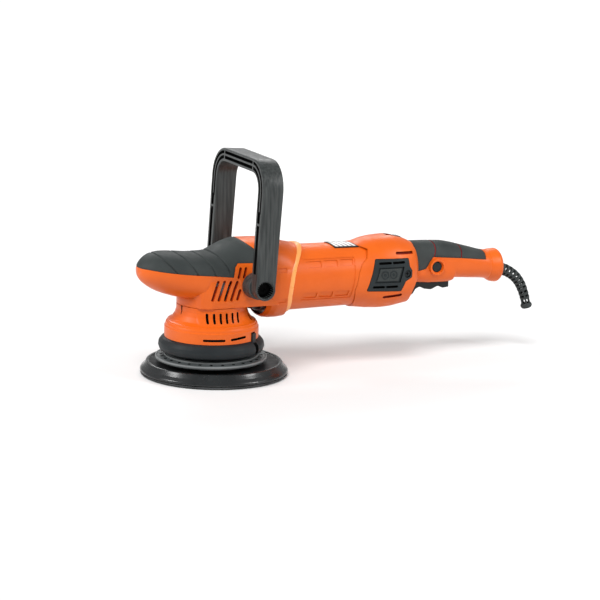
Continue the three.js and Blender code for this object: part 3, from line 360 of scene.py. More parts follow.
def moulded_rings(stations, inset, steps, count):
    """The rings of a moulded shell's outer form, drawn in by inset."""
    table = smooth_table(stations, steps)
    widest = max(row[4] for row in stations)
    middle = (stations[0][0] + stations[-1][0]) / 2
    angles = np.linspace(0, 2 * math.pi, 4 * count, endpoint=False)
    rings = []
    for x, top, belt, bottom, half, square_top, square_bottom in table:
        across, upwards = np.cos(angles), np.sin(angles)
        power = 2 / np.where(upwards >= 0, square_top, square_bottom)
        reach = np.maximum(np.where(upwards >= 0, top - belt, belt - bottom) - inset, 0.4)
        y = max(half - inset, 0.4) * np.sign(across) * np.abs(across) ** power
        z = belt + reach * np.sign(upwards) * np.abs(upwards) ** power
        shifted = x + inset * (1 - half / widest) * (1 if middle > x else -1)
        ring = np.column_stack([np.full_like(y, shifted), y, z])
        rings.append(even_ring(ring, count))
    return np.array(rings)


def displaced(rings, depth_at):
    """Rings moved inwards along their own normals by depth_at(x, y, z)."""
    along = np.gradient(rings, axis=0)
    around = np.roll(rings, -1, axis=1) - np.roll(rings, 1, axis=1)
    normal = np.cross(around, along)
    length = np.linalg.norm(normal, axis=2, keepdims=True)
    normal = normal / np.maximum(length, 1e-9)
    middle = rings.mean(axis=1, keepdims=True)
    outward = np.sign(np.sum(normal * (rings - middle), axis=2).mean())
    depth = depth_at(rings[..., 0], rings[..., 1], rings[..., 2])
    return rings - normal * outward * depth[..., None]


def moulded(stations, inset, material, steps=60, count=64, depth_at=None):
    """The solid of a moulded form: how fine it is, and how deep its surface is pressed in."""
    rings = moulded_rings(stations, inset, steps, count)
    if depth_at:
        rings = displaced(rings, depth_at)
    return loft(rings, material)


STRAIGHT, FOLDED = 0.05, 0.02  # radians; a corner this near to either is left as it is
EDGE_SHARE = 0.48  # the most of an edge that the fillet at one of its ends may take


def filleted(points, radius, closed=True, steps=4):
    """An outline with its corners rounded. A point may carry its own radius."""
    count = len(points)
    out = []
    for i, point in enumerate(points):
        here = Vector(point[:2])
        r = point[2] if len(point) > 2 else radius
        if (not closed and i in (0, count - 1)) or r <= 0:
            out.append(tuple(here))
            continue
        before = Vector(points[i - 1][:2]) - here
        after = Vector(points[(i + 1) % count][:2]) - here
        angle = before.angle(after, math.pi)
        if angle > math.pi - STRAIGHT or angle < FOLDED:
            out.append(tuple(here))
            continue
        room = EDGE_SHARE * min(before.length, after.length)
        reach = min(r / math.tan(angle / 2), room)
        start = here + before.normalized() * reach
        end = here + after.normalized() * reach
        for k in range(steps + 1):
            t = k / steps
            out.append(tuple((1 - t) ** 2 * start + 2 * t * (1 - t) * here + t**2 * end))
    return out


def prism(axis, outline, low, high, material=None):
    """An outline extruded along an axis: (Y, Z) along X, (X, Z) along Y, (X, Y) along Z."""
    place = {
        "x": lambda u, v, w: (w, u, v),
        "y": lambda u, v, w: (u, w, v),
        "z": lambda u, v, w: (u, v, w),
    }[axis]
    count = len(outline)
    points = [place(u, v, low) for u, v in outline] + [place(u, v, high) for u, v in outline]
    faces = [tuple(range(count)), tuple(range(2 * count - 1, count - 1, -1))]
    faces += ring_faces(2, count, False)
    return solid(points, faces, material)


def turned(axis, profile, centre, material, sides=96, radius_at=None):
    """A profile of [radius, place along the axis] turned about an axis through centre."""
    low_pole, high_pole = profile[0][0] <= 0, profile[-1][0] <= 0
    line = profile[1 if low_pole else 0: len(profile) - (1 if high_pole else 0)]
    points = []

    def spot(radius, along, angle):
        if radius_at:
            radius += radius_at(radius, along, angle)
        u, v = radius * math.cos(angle), radius * math.sin(angle)
        local = {"x": (along, u, v), "y": (u, along, v), "z": (u, v, along)}[axis]
        return tuple(a + b for a, b in zip(local, centre))

    for radius, along in line:
        for k in range(sides):
            points.append(spot(radius, along, 2 * math.pi * k / sides))
    rows = len(line)
    faces = ring_faces(rows, sides, not (low_pole or high_pole))
    for pole, row, entry in ((low_pole, 0, profile[0]), (high_pole, rows - 1, profile[-1])):
        if pole:
            points.append(spot(0, entry[1], 0))
            for k in range(sides):
                faces.append((row * sides + k, row * sides + (k + 1) % sides, len(points) - 1))
    return solid(points, faces, material)


def disc(axis, radius, low, high, centre, material, sides=64, inner=0):
    """A round plate, or a flat-faced ring when it has an inner radius."""
    return turned(axis, oblong(inner, radius, low, high), centre, material, sides)


def block(x0, x1, y0, y1, z0, z1, material=None):
    """A cuboid cutter."""
    return prism("z", oblong(x0, x1, y0, y1), z0, z1, material)


def slot(x0, z0, x1, z1, width, y0, y1, material=None):
    """A round-ended slot cutter, drawn from the side."""
    angle = math.atan2(z1 - z0, x1 - x0)
    outline = []
    for x, z, first in ((x0, z0, math.pi / 2), (x1, z1, -math.pi / 2)):
        for k in range(7):
            turn = angle + first + math.pi * k / 6
            outline.append((x + width / 2 * math.cos(turn), z + width / 2 * math.sin(turn)))
    return prism("y", outline, y0, y1, material)


def applied(made):
    """A piece with its modifiers turned into mesh."""
    shape = made.evaluated_get(bpy.context.evaluated_depsgraph_get())
    made.data = bpy.data.meshes.new_from_object(shape)
    made.modifiers.clear()
    return made


BEVEL_ANGLE = math.radians(60)


def bevelled(made, width):
    """A piece with its sharp edges rounded."""
    edge = made.modifiers.new("edge", "BEVEL")
    edge.width = width * MM
    edge.segments = 3
    edge.limit_method = "ANGLE"
    edge.angle_limit = BEVEL_ANGLE
    return applied(made)


def swung(made, degrees):
    """A piece swung round the spindle's axis."""
    made.data.transform(Matrix.Rotation(math.radians(degrees), 4, "Z"))
    return made


def combine(made, operation, cutters):
    """Changes a piece by each cutter in turn; the cutters are used up."""
    for cutter in cutters:
        change = made.modifiers.new("change", "BOOLEAN")
        change.operation = operation
        change.solver = "MANIFOLD"
        change.object = cutter
        if cutter.data.materials:
            change.material_mode = "TRANSFER"
        applied(made)
        bpy.data.objects.remove(cutter)
    return made


def cut(made, *cutters):
    """A piece with the cutters taken out of it."""
    return combine(made, "DIFFERENCE", cutters)


def join(made, *others):
    """A piece with others made one with it."""
    return combine(made, "UNION", others)


def keep(made, limit):
    """The part of a piece that lies inside a limit."""
    return combine(made, "INTERSECT", [limit])


def towards_tail(edge, shift, far):
    """The side-view area from an edge line, moved by shift, to a place far along X."""
    line = [[x + shift, z] for x, z in edge]
    return [[line[0][0], 175], *line, [line[-1][0], 40], [far, 40], [far, 175]]


def grown(outline, amount):
    """An outline moved outwards, its corners mitred."""
    count = len(outline)
    area = sum(outline[i][0] * outline[(i + 1) % count][1] - outline[(i + 1) % count][0]
               * outline[i][1] for i in range(count))
    normals = []
    for i in range(count):
        (u, v), (nu, nv) = outline[i][:2], outline[(i + 1) % count][:2]
        normals.append(Vector((nv - v, u - nu)).normalized() * math.copysign(1, area))
    out = []
    for i in range(count):
        before, after = normals[i - 1], normals[i]
        reach = amount / (1 + before.dot(after))
        out.append([outline[i][0] + (before.x + after.x) * reach,
                    outline[i][1] + (before.y + after.y) * reach])
    return out


def line_distance(x, z, points):
    """Distance in the side view from a line of points."""
    best = np.full(np.shape(x), 1e9)
    for (ax, az), (bx, bz) in zip(points, points[1:]):
        dx, dz = bx - ax, bz - az
        t = np.clip(((x - ax) * dx + (z - az) * dz) / (dx * dx + dz * dz), 0, 1)
        best = np.minimum(best, np.hypot(x - ax - t * dx, z - az - t * dz))
    return best


def inside_depth(x, z, outline):
    """How far a point is inside an outline in the side view; negative outside it."""
    closed = [*outline, outline[0]]
    distance = line_distance(x, z, closed)
    crossings = np.zeros(np.shape(x), bool)
    for (ax, az), (bx, bz) in zip(closed, closed[1:]):
        spans = (az > z) != (bz > z)
        with np.errstate(divide="ignore", invalid="ignore"):
            meets = ax + (z - az) * (bx - ax) / (bz - az)
        crossings ^= spans & (x < meets)
    return np.where(crossings, distance, -distance)


def soft_step(value, width):
    """From 0 to 1 over a width centred on zero."""
    t = np.clip(value / width + 0.5, 0, 1)
    return t * t * (3 - 2 * t)


SLOT_OF = {
    "orange_shell": orange, "black_plastic": black_plastic, "grey_cover": cover_grey,
    "overmould": grip_black, "pad_rubber": pad_rubber, "hook_fibre": fibre, "steel": steel,
    "cast_aluminium": aluminium, "copper": copper, "carbon": carbon, "label": cover_grey,
}
SMOOTH_ANGLE = math.radians(32)


def settle(made, name, stands_for="", body=HOUSING):
    """Names a finished piece, shades it, and puts it on its body in place of a frame node."""
    made.name = name
    made.data.name = name
    made.data.shade_smooth()
    made.data.set_sharp_from_angle(angle=SMOOTH_ANGLE)
    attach(made, body)
    if stands_for:
        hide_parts(stands_for)


# ---- head

VENT_BOTTOMS = [(-15.6, 92), (-8.2, 91.6), (-0.8, 91.2), (6.6, 90.8), (14, 91.4)]


def head_base():
    """The square-sided lower part of the head, chamfered into the hump above it."""
    low = bevelled(prism("z", filleted(HEAD_BASE, 5, steps=6), 83.5, 114, orange), 0.8)
    for vertex in low.data.vertices:
        if vertex.co.z > 100 * MM:
            vertex.co.y *= 0.95
    return low


def vent(x0, z0, x1, z1, width, low, high):
    """A vent cut to an inner wall, which keeps the works out of sight; its walls and its floor are
    darker oranges, painted shade.
    """
    deep = slot(x0, z0, x1, z1, width, low, high, painted_shade_slot_orange)
    floor = prism("z", grown(filleted(HEAD_BASE, 5), -3.4), 60, 108, painted_shade_orange)
    cut(deep, floor)
    return cut(deep, moulded(HEAD, 3.6, painted_shade_orange, steps=50, count=48))


def head_cover():
    """The head's upper shell, with its neck, its flange and its vents."""
    panel = [[-21, 104], [-16.6, 115], [16, 115], [20, 106], [20, 104]]

    def relief(x, y, z):
        depth = 0.45 * soft_step(inside_depth(x, z, panel), 0.9)
        return np.where(np.abs(y) > 24, depth, 0)

    shell = moulded(HEAD, 0.35, orange, steps=230, count=160, depth_at=relief)
    neck = turned("z", [[0, 83.5], [39.2, 83.5], [39.7, 84], [39.7, 88.4], [40.2, 91.4], [38, 97],
                        [0, 100]], SPINDLE, orange, sides=128)
    ring_line = filleted([[0, 50], [40.6, 53.3, 1.5], [42.8, 57.5], [43.7, 64], [43.8, 72],
                          [43, 80], [40.6, 91], [38.8, 99], [0, 99]], 3, closed=False)
    flange = turned("x", ring_line, MOTOR, orange, sides=160)
    join(shell, neck, flange, head_base())
    marks = []
    for low, high in both_sides(20):
        for x0, x1, z0, z1 in ((62, 73, 120, 125.4), (63, 73.4, 85.4, 90.6)):
            outline = filleted([[x0, z0], [x1, z0 + 0.4], [x1, z1], [x0, z1 - 0.4]], 0.5)
            sunk = prism("y", outline, low, high, orange)
            marks.append(cut(sunk, disc("x", 43.1, 50, 84, MOTOR, orange, 160)))
    # The hollows are cut in dark red-brown: painted shade on the inner faces.
    hollow = [
        moulded(HEAD[3:14], 5.2, painted_shade_orange),
        disc("z", 36.4, 80, 112, SPINDLE, painted_shade_orange),
        disc("x", 40.9, 56, 70, MOTOR, painted_shade_orange),
        disc("x", 37.6, 56, 104, MOTOR, painted_shade_orange),
        disc("x", 31, 44, 60, MOTOR, painted_shade_orange),
        block(30, 49.4, -35.6, 35.6, 80, 100, painted_shade_orange),
        cut(disc("x", 39.6, 48, 59.4, MOTOR, painted_shade_orange, 96), block(30, 70, -60, 60, 88, 160),
            block(30, 70, -60, -36, 50, 100), block(30, 70, 36, 60, 50, 100)),
    ]
    # The recess under the palm overmould is cut in near-black: painted shade.
    recess = cut(prism("y", grown(PALM_ZONE, 0.25), -60, 60, black_and_painted_shade),
                 moulded(HEAD, 2.7, black_and_painted_shade, 120, 112))
    vents = []
    for i, (x, z) in enumerate(VENT_BOTTOMS):
        lean, rise = (7.5, 21.6) if i < 4 else (3.7, 11.4)
        for low, high in both_sides(30):
            vents.append(vent(x + 0.6, z + 2, x + lean, z + rise, 3.3, low, high))
    for x in (15.4, 21.6):
        for low, high in both_sides(30):
            vents.append(vent(x, 117.6, x + 2.4, 127.4, 3, low, high))
    bolt_hole = disc("y", 4.4, -60, 60, PIVOT, painted_shade_orange)
    tail = prism("y", towards_tail(HEAD_EDGE, -0.3, 140), -70, 70, orange)
    cut(shell, *hollow, recess, *vents, *marks, bolt_hole, tail)
    settle(shell, "head_cover_shell", "head_cover")


PALM_GROOVES = [
    [(-71, 144), (-66.5, 139), (-60, 131.5), (-54.5, 124)],
    [(-47, 144), (-42.5, 139), (-36.6, 131), (-31, 121)],
    [(-25, 144), (-20, 138.6), (-14.5, 130), (-10, 118)],
    [(-7, 144), (-1.6, 138), (2.6, 131), (5.4, 124)],
]


def palm_grip():
    """The grooved rubber over the nose."""
    def relief(x, y, z):
        depth = np.zeros(np.shape(x))
        for groove in PALM_GROOVES:
            away = line_distance(x, np.minimum(z, 143.5), groove)
            depth = np.maximum(depth, 1.25 * (1 - soft_step(away - 0.7, 0.9)))
        edge = inside_depth(x, z, PALM_ZONE)
        return depth + 0.5 * (1 - soft_step(edge - 0.7, 1.4))

    skin = moulded(HEAD[:14], 0, grip_black, steps=330, count=176, depth_at=relief)
    cut(skin, moulded(HEAD[:14], 2.4, grip_black, 120, 112))
    keep(skin, prism("y", PALM_ZONE, -60, 60, grip_black))
    settle(skin, "palm_overmould", "palm_grip")


TAB_ANGLE, WEDGE_ANGLE, HOLE_ANGLE = -51, -169, -35


def head_skirt():
    panel = oblong(-29.5, 19, 66.6, 79.4)
    outside = filleted([
        [39.7, 83.1, 0.3], [39.7, 77.5], [41.2, 72.4], [44.4, 67.4], [47.6, 64.9, 1],
        [49.5, 64.3, 0.4], [49.7, 63, 0.3], [50.9, 62.2, 0.6], [51.6, 60.2, 0.5],
        [51.7, 58.6, 0.3], [52.7, 57.8, 0.3], [52.7, 45.8, 0.4],
    ], 1.6, closed=False, steps=3)
    inside = [[49.6, 45.8], [49.6, 59], [42, 65], [36.6, 74], [36.4, 83.1]]
    dense = []
    for (ra, za), (rb, zb) in zip(outside, outside[1:]):
        pieces = max(1, round(math.hypot(rb - ra, zb - za) / 0.7))
        dense += [[ra + (rb - ra) * k / pieces, za + (zb - za) * k / pieces] for k in range(pieces)]
    dense.append(list(outside[-1]))

    def raised(radius, along, angle):
        if radius < 39.65 or along > 83:
            return 0.0
        x, y = radius * math.cos(angle), radius * math.sin(angle)
        if abs(y) < 26:
            return 0.0
        return 0.55 * float(soft_step(inside_depth(np.array(x), np.array(along), panel), 1.1))

    shell = turned("z", [*dense, *inside], SPINDLE, orange, sides=320, radius_at=raised)
    # The skirt's slots are cut in near-black: painted shade.
    cutters = []
    for low, high in both_sides(20):
        for i in range(6):
            x = -20.6 + 7.1 * i
            cutters.append(slot(x, 68.8, x + 0.6, 77.4, 2.6, low, high, black_and_painted_shade))
        cutters.append(slot(-27, 50.7, -6, 50.6, 2.7, low, high, black_and_painted_shade))
        cutters.append(slot(3, 51, 20, 52.4, 2.7, low, high, black_and_painted_shade))
    cut(shell, *cutters)
    # The wedge is cut in near-black, and the hole and the notch in dark red-brown: painted shade in
    # each.
    wedge = prism("x", [[-0.4, 73.5], [0.5, 73.5], [1.5, 83.4], [-1.5, 83.4]], 37.6, 45, black_and_painted_shade)
    hole = prism("x", filleted(oblong(-1.3, 1.3, 65.6, 72.6), 1.2), 38, 50, painted_shade_orange)
    notch = prism("x", filleted(oblong(-4.4, 4.4, 40, 55.5), 1), 45, 60, painted_shade_orange)
    cut(shell, swung(wedge, WEDGE_ANGLE), swung(hole, HOLE_ANGLE), swung(notch, TAB_ANGLE))
    settle(shell, "skirt_shell", "head_skirt")


def shroud_ring():
    outside = filleted([
        [50, 29.5, 0.5], [54.5, 29.2], [57.8, 31], [59.4, 35.6], [58.8, 40], [55.8, 43.8],
        [52.6, 45.4, 0.4], [49.3, 45.4, 0], [49.3, 50, 0], [47.2, 50, 0],
    ], 2.6, closed=False, steps=4)
    inside = [[47.2, 43.6], [52.4, 42.6], [55.4, 36], [53.6, 32], [50, 31.6]]
    ring = turned("z", [*outside, *inside], SPINDLE, shroud_rubber, sides=160)
    tab = prism("x", filleted(oblong(-3.6, 3.6, 36, 54), 1), 50.6, 54.4, shroud_rubber)
    # The slit is cut in near-black: painted shade.
    slit = prism("x", filleted(oblong(-4.6, 1.4, 32, 44), 0.8), 55.4, 62, black_and_painted_shade)
    join(ring, swung(tab, TAB_ANGLE))
    cut(ring, swung(slit, TAB_ANGLE))
    settle(ring, "shroud_bellows", "shroud_ring")


# ---- spindle and pad

VENT_HOLES = 28


def vent_disc():
    profile = filleted([
        [31.6, 19.2, 0], [60, 19.2, 1.2], [62.4, 20.4, 1], [62.4, 22.2, 1.2], [60, 23.6, 1.5],
        [52, 24.4, 0.3], [51.7, 25.3, 0.4], [50.6, 25.4, 0.4], [49.6, 26.8, 0.6], [34.4, 27.2, 0],
        [34.4, 31.4, 0], [31.6, 31.4, 0],
    ], 0.5)
    plate = turned("z", profile, SPINDLE, disc_grey, sides=160)
    # The vent holes are cut in near-black: painted shade.
    cut(plate, *[disc("z", 1.9, 15, 30, (x, y, 0), black_and_painted_shade, 16)
                 for x, y in dots(56.2, VENT_HOLES, start=0.3)])
    # The two beads are coloured light grey: painted rim highlights.
    for inner, outer, low, high in ((52, 52.9, 23.8, 26), (61.2, 62.45, 21.6, 23.4)):
        bead = filleted(oblong(inner, outer, low, high), 0.4)
        join(plate, turned("z", bead, SPINDLE, painted_highlight_grey, sides=160))
    settle(plate, "vented_disc", "vent_disc", SPIN)


def backing_plate():
    outer = filleted([
        [6.2, 3.1, 0], [81.6, 3.1, 0.8], [83.3, 4.6, 1], [82.6, 6.6, 3], [79.4, 10, 4],
        [77.2, 13.2, 1.5], [76.2, 14.9, 0.5], [75.2, 15.4, 0.4], [73.4, 15.4, 0.5],
        [72.4, 14, 0.6], [20, 14, 1], [18, 16.8, 1], [7.2, 16.8, 0], [7.2, 8, 0], [3.4, 8, 0],
        [3.4, 7, 0], [6.2, 7, 0],
    ], 1, steps=5)
    plate = turned("z", outer, PAD, pad_rubber, sides=192)
    cut(plate, disc("z", 72.2, 13.9, 20, PAD, matte_black, 192, inner=20.4))
    settle(plate, "backing_plate_cone", "backing_plate", PAD_BODY)


HOOK_WIDE = 0.0042  # half a hook's width, in radians round the pad
FLOOR_GAP = 0.02


def hook_face():
    """The hook layer: a disc whose rim frays into short stiff hooks."""
    ring = turned("z", filleted([[5.8, 0.6, 0], [81.4, 0.6, 0.4], [82, 1.6, 0.4], [82, 2.8, 0],
                                 [5.8, 2.8, 0]], 0.4), PAD, fibre, sides=192)
    generator = np.random.default_rng(11)
    points, faces = [], []
    for radius, low, spread, number in ((82.2, 2.6, 1.5, 1500), (80.6, 1.0, 1.4, 1100)):
        for k in range(number):
            angle = 2 * math.pi * (k + generator.uniform(-0.4, 0.4)) / number
            root = radius + generator.uniform(-1.0, 0.2)
            reach = generator.uniform(0.1, 1.1)
            drop = generator.uniform(0.6, spread)
            base = low - generator.uniform(0, 0.6)
            twist = generator.uniform(-0.006, 0.006)
            tip = max(base - drop, FLOOR_GAP)
            start = len(points)
            for r, a, z in ((root, angle - HOOK_WIDE, base), (root, angle + HOOK_WIDE, base),
                            (root - 0.4, angle, base + 0.2), (root + reach, angle + twist, tip)):
                points.append((PAD[0] + r * math.cos(a), PAD[1] + r * math.sin(a), z))
            faces += [(start, start + 1, start + 3), (start + 1, start + 2, start + 3),
                      (start + 2, start, start + 3), (start, start + 2, start + 1)]
    fringe = solid(points, faces, fibre, "hook_fringe")
    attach(fringe, PAD_BODY)
    settle(ring, "hook_disc", "hook_face", PAD_BODY)


# ---- motor housing


def edge_x(edge, z):
    """Where an edge line lies along X at height z."""
    rising = sorted(edge, key=lambda point: point[1])
    return np.interp(z, [p[1] for p in rising], [p[0] for p in rising])


def barrel_core(depth, start, end, steps, sides=224):
    """The barrel's round form, drawn in by depth, between two places along X."""
    angles = np.linspace(0, 2 * math.pi, sides, endpoint=False)
    rings = []
    for x in np.linspace(start, end, steps):
        radius = float(np.interp(x, [70, 74, 120, 192], [37.2, 37.2, 36.6, 35.9])) - depth
        rings.append(np.column_stack([np.full(sides, x), radius * np.cos(angles),
                                      MOTOR_Z + radius * np.sin(angles)]))
    return loft(rings, orange)


def gear_case_foot():
    """The cast foot of the gear case, which hangs between the neck and the motor's flange."""
    outline = filleted([[0, 41.4, 0], [30.6, 41.4, 0.8], [32.6, 43], [32.6, 49.6, 0.4],
                        [34.2, 50, 0.4], [34.8, 51.4], [34.8, 60.6, 0.4], [0, 60.6, 0]], 1)
    foot = turned("x", outline, MOTOR, black_plastic, sides=128)
    cut(foot, disc("x", 37, 51.8, 57.2, MOTOR, aluminium, 128, inner=34.5))
    ring = filleted(oblong(33.2, 35.2, 50.8, 58.6), 0.5)
    join(foot, turned("x", ring, MOTOR, aluminium, sides=128))
    keep(foot, block(38, 64, -33, 33, 60, 85, aluminium))
    settle(foot, "gear_case_foot")


def motor_housing():
    barrel = barrel_core(0, 70, 192, 62)
    front = turned("x", [[0, 64.3], [40.6, 64.3], [40.6, 69.6], [37, 69.6], [37, 72], [0, 72]],
                   MOTOR, orange)
    join(barrel, front)
    panels = [(0.6, [[94, 85], [98.4, 131], [161, 130.4], [156.6, 84.4]])]
    for z, rise, pockets in ((121.8, 6.8, ((100.4, 119.6), (122, 139.6), (142, 159))),
                             (87.2, 7, ((97, 114), (116.4, 133.6), (136, 153.6)))):
        for low, high in pockets:
            panels.append((1.5, [[low, z + 0.2], [low + 0.8, z + rise], [high, z + rise - 0.2],
                                 [high - 0.8, z]]))
    cutters = []
    for depth, outline in panels:
        for low, high in both_sides(10):
            sunk = prism("y", filleted(outline, 1), low, high, orange)
            cutters.append(cut(sunk, barrel_core(depth, 66, 196, 40)))
    cut(barrel, *cutters)
    # The bore and the cut behind it leave dark red-brown faces: painted shade.
    bore = turned("x", [[0, 60], [34, 60], [33, 100], [33, 192.5], [0, 192.5]], MOTOR, painted_shade_orange)
    behind = prism("y", towards_tail(BARREL_EDGE, -0.3, 240), -60, 60, painted_shade_orange)
    cut(barrel, bore, behind)
    settle(barrel, "barrel_shell", "motor_housing")


def highlight_painted_band():
    """The lighter ring between the head and the barrel, chamfered towards the tail; its lighter orange
    is a painted highlight.
    """
    width = 7.4
    sides, across = 256, 22
    angles = np.linspace(0, 2 * math.pi, sides, endpoint=False)
    loop = [(0.0, 36.6), (0.0, 39.2), (0.5, 40.2)]
    loop += [(0.5 + (width - 1.1) * k / across, 40.3 - 1.6 * (k / across) ** 1.5)
             for k in range(1, across + 1)]
    loop += [(width, 38.2), (width, 36.6)]
    rings = []
    for shift, radius in loop:
        z = MOTOR_Z + radius * np.sin(angles)
        x = edge_x(HEAD_EDGE, z) + shift
        rings.append(np.column_stack([x, radius * np.cos(angles), z]))
    points = [tuple(p) for ring in rings for p in ring]
    band = solid(points, ring_faces(len(loop), sides, True), painted_highlight_orange)
    settle(band, "highlight_painted_band")


def label_plate():
    """The sticker on top of the barrel: a dark border round plain slanted stripes."""
    made, tree, shader = nodes_of("label_print", (0.6, 0.6, 0.6), 0.35)
    place = add(tree, "SeparateXYZ", {"Vector": add(tree, "TexCoord", {})["Object"]})
    lean = add(tree, "Math", {0: place["Y"], 1: 0.55, 2: place["X"]}, operation="MULTIPLY_ADD")
    wave = add(tree, "Math", {0: lean["Value"], 1: 2.6 * MM}, operation="PINGPONG")
    stripes = remap(tree, wave["Value"], 0, 1, 0.9 * MM, 1.2 * MM)
    ink = remap(tree, noise(tree, 900, 2), 0, 1)
    pale = mix(tree, ink, (0.78, 0.77, 0.76), (0.64, 0.63, 0.62))
    tree.links.new(mix(tree, stripes, (0.20, 0.18, 0.18), pale), shader.inputs["Base Color"])
    outline = [[137.5, 3.5], [142, -16], [171.4, -16.6], [164, -3.6]]
    plate = disc("x", 37.4, 120, 180, MOTOR, black_plastic, 256, inner=36.7)
    keep(plate, prism("z", outline, 126, 150, black_plastic))
    face = disc("x", 37.5, 120, 180, MOTOR, made, 256, inner=36.7)
    keep(face, prism("z", grown(outline, -1.5), 126, 150, made))
    settle(face, "label_stripes")
    settle(plate, "label_border", "label_plate")


# ---- rear body and handle

HANDLE_SCREWS = [(226, 80), (312, 98), (340, 116)]
COVER_SCREW = (225.2, 0, 108.6)
LOCK = (269, 0, 111.5)
DIAL_X, DIAL_Z, DIAL_TEETH = 224.5, 134.3, 30


def rear_slot(x0, z0, x1, z1, low, high):
    """A shallow slot in the rear body's wall; its walls and its floor are darker oranges, painted
    shade.
    """
    deep = slot(x0, z0, x1, z1, 3.2, low, high, painted_shade_slot_orange)
    return cut(deep, moulded(REAR_BODY, 2.2, painted_shade_orange, steps=50, count=64))


def handle_shells():
    """The rear body and handle as one form, then split down the middle."""
    def tail_relief(x, y, z):
        return 0.5 * (1 - soft_step(np.abs(x - 342.6) - 0.8, 1.2))

    whole = moulded(REAR_BODY, 0, orange, steps=120, count=176)
    cut(whole, prism("y", filleted(REAR_UNDERCUT, 1.2), -60, 60, orange))
    handle = moulded(HANDLE, 0, orange, steps=200, count=128, depth_at=tail_relief)
    join(whole, handle)
    inner_wall = [[x - 3.2, z + 3.2] for x, z in REAR_UNDERCUT]
    # The hollows and the cut-outs leave dark red-brown faces: painted shade.
    hollow = [
        cut(moulded(REAR_BODY, 3.2, painted_shade_orange), block(239, 250, -60, 60, 50, 160),
            prism("y", inner_wall, -60, 60)),
        moulded(HANDLE[:-3], 5, painted_shade_orange),
    ]
    cut(whole, *hollow)
    recess = cut(prism("y", grown(HANDLE_GRIP_ZONE, 0.3), -40, 40, orange),
                 block(200, 243.1, -60, 60, 50, 160), moulded(HANDLE, 2.7, orange, 120, 112))
    cut(whole, recess)
    boss_line = filleted([[0, -25, 0], [9.4, -25, 0.9], [9.9, -15, 0], [0, -15, 0]], 1, closed=False)
    boss = turned("y", boss_line, LOCK, orange, sides=96)
    cut(boss, disc("y", 7.4, -27, -22.8, LOCK, orange))
    join(whole, boss)
    cutters = []
    for low, high in both_sides(20):
        cover = filleted(grown(COVER_OUTLINE, 0.45), 2.4)
        cutters += [
            prism("y", cover, low, high, painted_shade_orange),
            rear_slot(197.6, 82.6, 218.6, 84.2, low, high),
            rear_slot(212.4, 132.6, 233, 131.6, low, high),
        ]
    cutters += [
        block(243.7, 296, -8, 8, 80, 100, painted_shade_orange),
        block(DIAL_X - 13, DIAL_X + 13, -5, 5, 134, 160, painted_shade_orange),
        disc("y", 6.3, -60, -5, LOCK, orange),
        disc("x", 8.2, 340, 370, (0, 0, 101), painted_shade_orange),
        disc("x", 9.7, 343, 348, (0, 0, 101), painted_shade_orange),
        prism("y", [[150, 40], [150, 175], *BARREL_EDGE, [166, 40]], -60, 60, orange),
    ]
    for x, z in HANDLE_SCREWS:
        cutters.append(disc("y", 2.2, -10, 60, (x, 0, z), painted_shade_orange, 32))
        cutters.append(disc("y", 3.9, 10.7, 60, (x, 0, z), orange, 32))
    cut(whole, *cutters)
    right = placed("right", whole.data.copy())
    cut(whole, block(100, 400, 0.08, 90, 0, 200, painted_shade_orange))
    cut(right, block(100, 400, -90, -0.08, 0, 200, painted_shade_orange))
    settle(whole, "rear_shell_left", "handle_shell_left")
    settle(right, "rear_shell_right", "handle_shell_right")


LINE_HALF = 0.6
GRIP_LINES = [
    [(269.6, 141), (270.4, 136), (269.4, 130), (266, 121)],
    [(303, 137), (304, 131.5), (303.4, 126), (301.4, 118)],
]


def handle_grip():
    def relief(x, y, z):
        edge = np.minimum(inside_depth(x, z, HANDLE_GRIP_ZONE), x - 243.7)
        depth = 0.5 * (1 - soft_step(edge - 0.6, 1.2))
        for line in GRIP_LINES:
            away = line_distance(x, z, line)
            depth = np.maximum(depth, 0.7 * (1 - soft_step(away - 0.9, 1.2)))
        return depth

    skin = moulded(HANDLE, 0, grip_black, steps=330, count=160, depth_at=relief)
    cut(skin, moulded(HANDLE, 2.4, grip_black, 120, 112))
    keep(skin, prism("y", filleted(HANDLE_GRIP_ZONE, 1.6), -40, 40, grip_black))
    cutters = [block(200, 243.7, -60, 60, 50, 160, grip_black),
               disc("y", 10.2, -60, -5, LOCK, grip_black)]
    for line in GRIP_LINES:
        outline = [(x - LINE_HALF, z) for x, z in line]
        outline += [(x + LINE_HALF, z) for x, z in reversed(line)]
        strip = prism("y", outline, -60, 60, line_red)
        cutters.append(cut(strip, moulded(HANDLE, 1.5, line_red)))
    cut(skin, *cutters)
    settle(skin, "handle_overmould", "handle_grip")


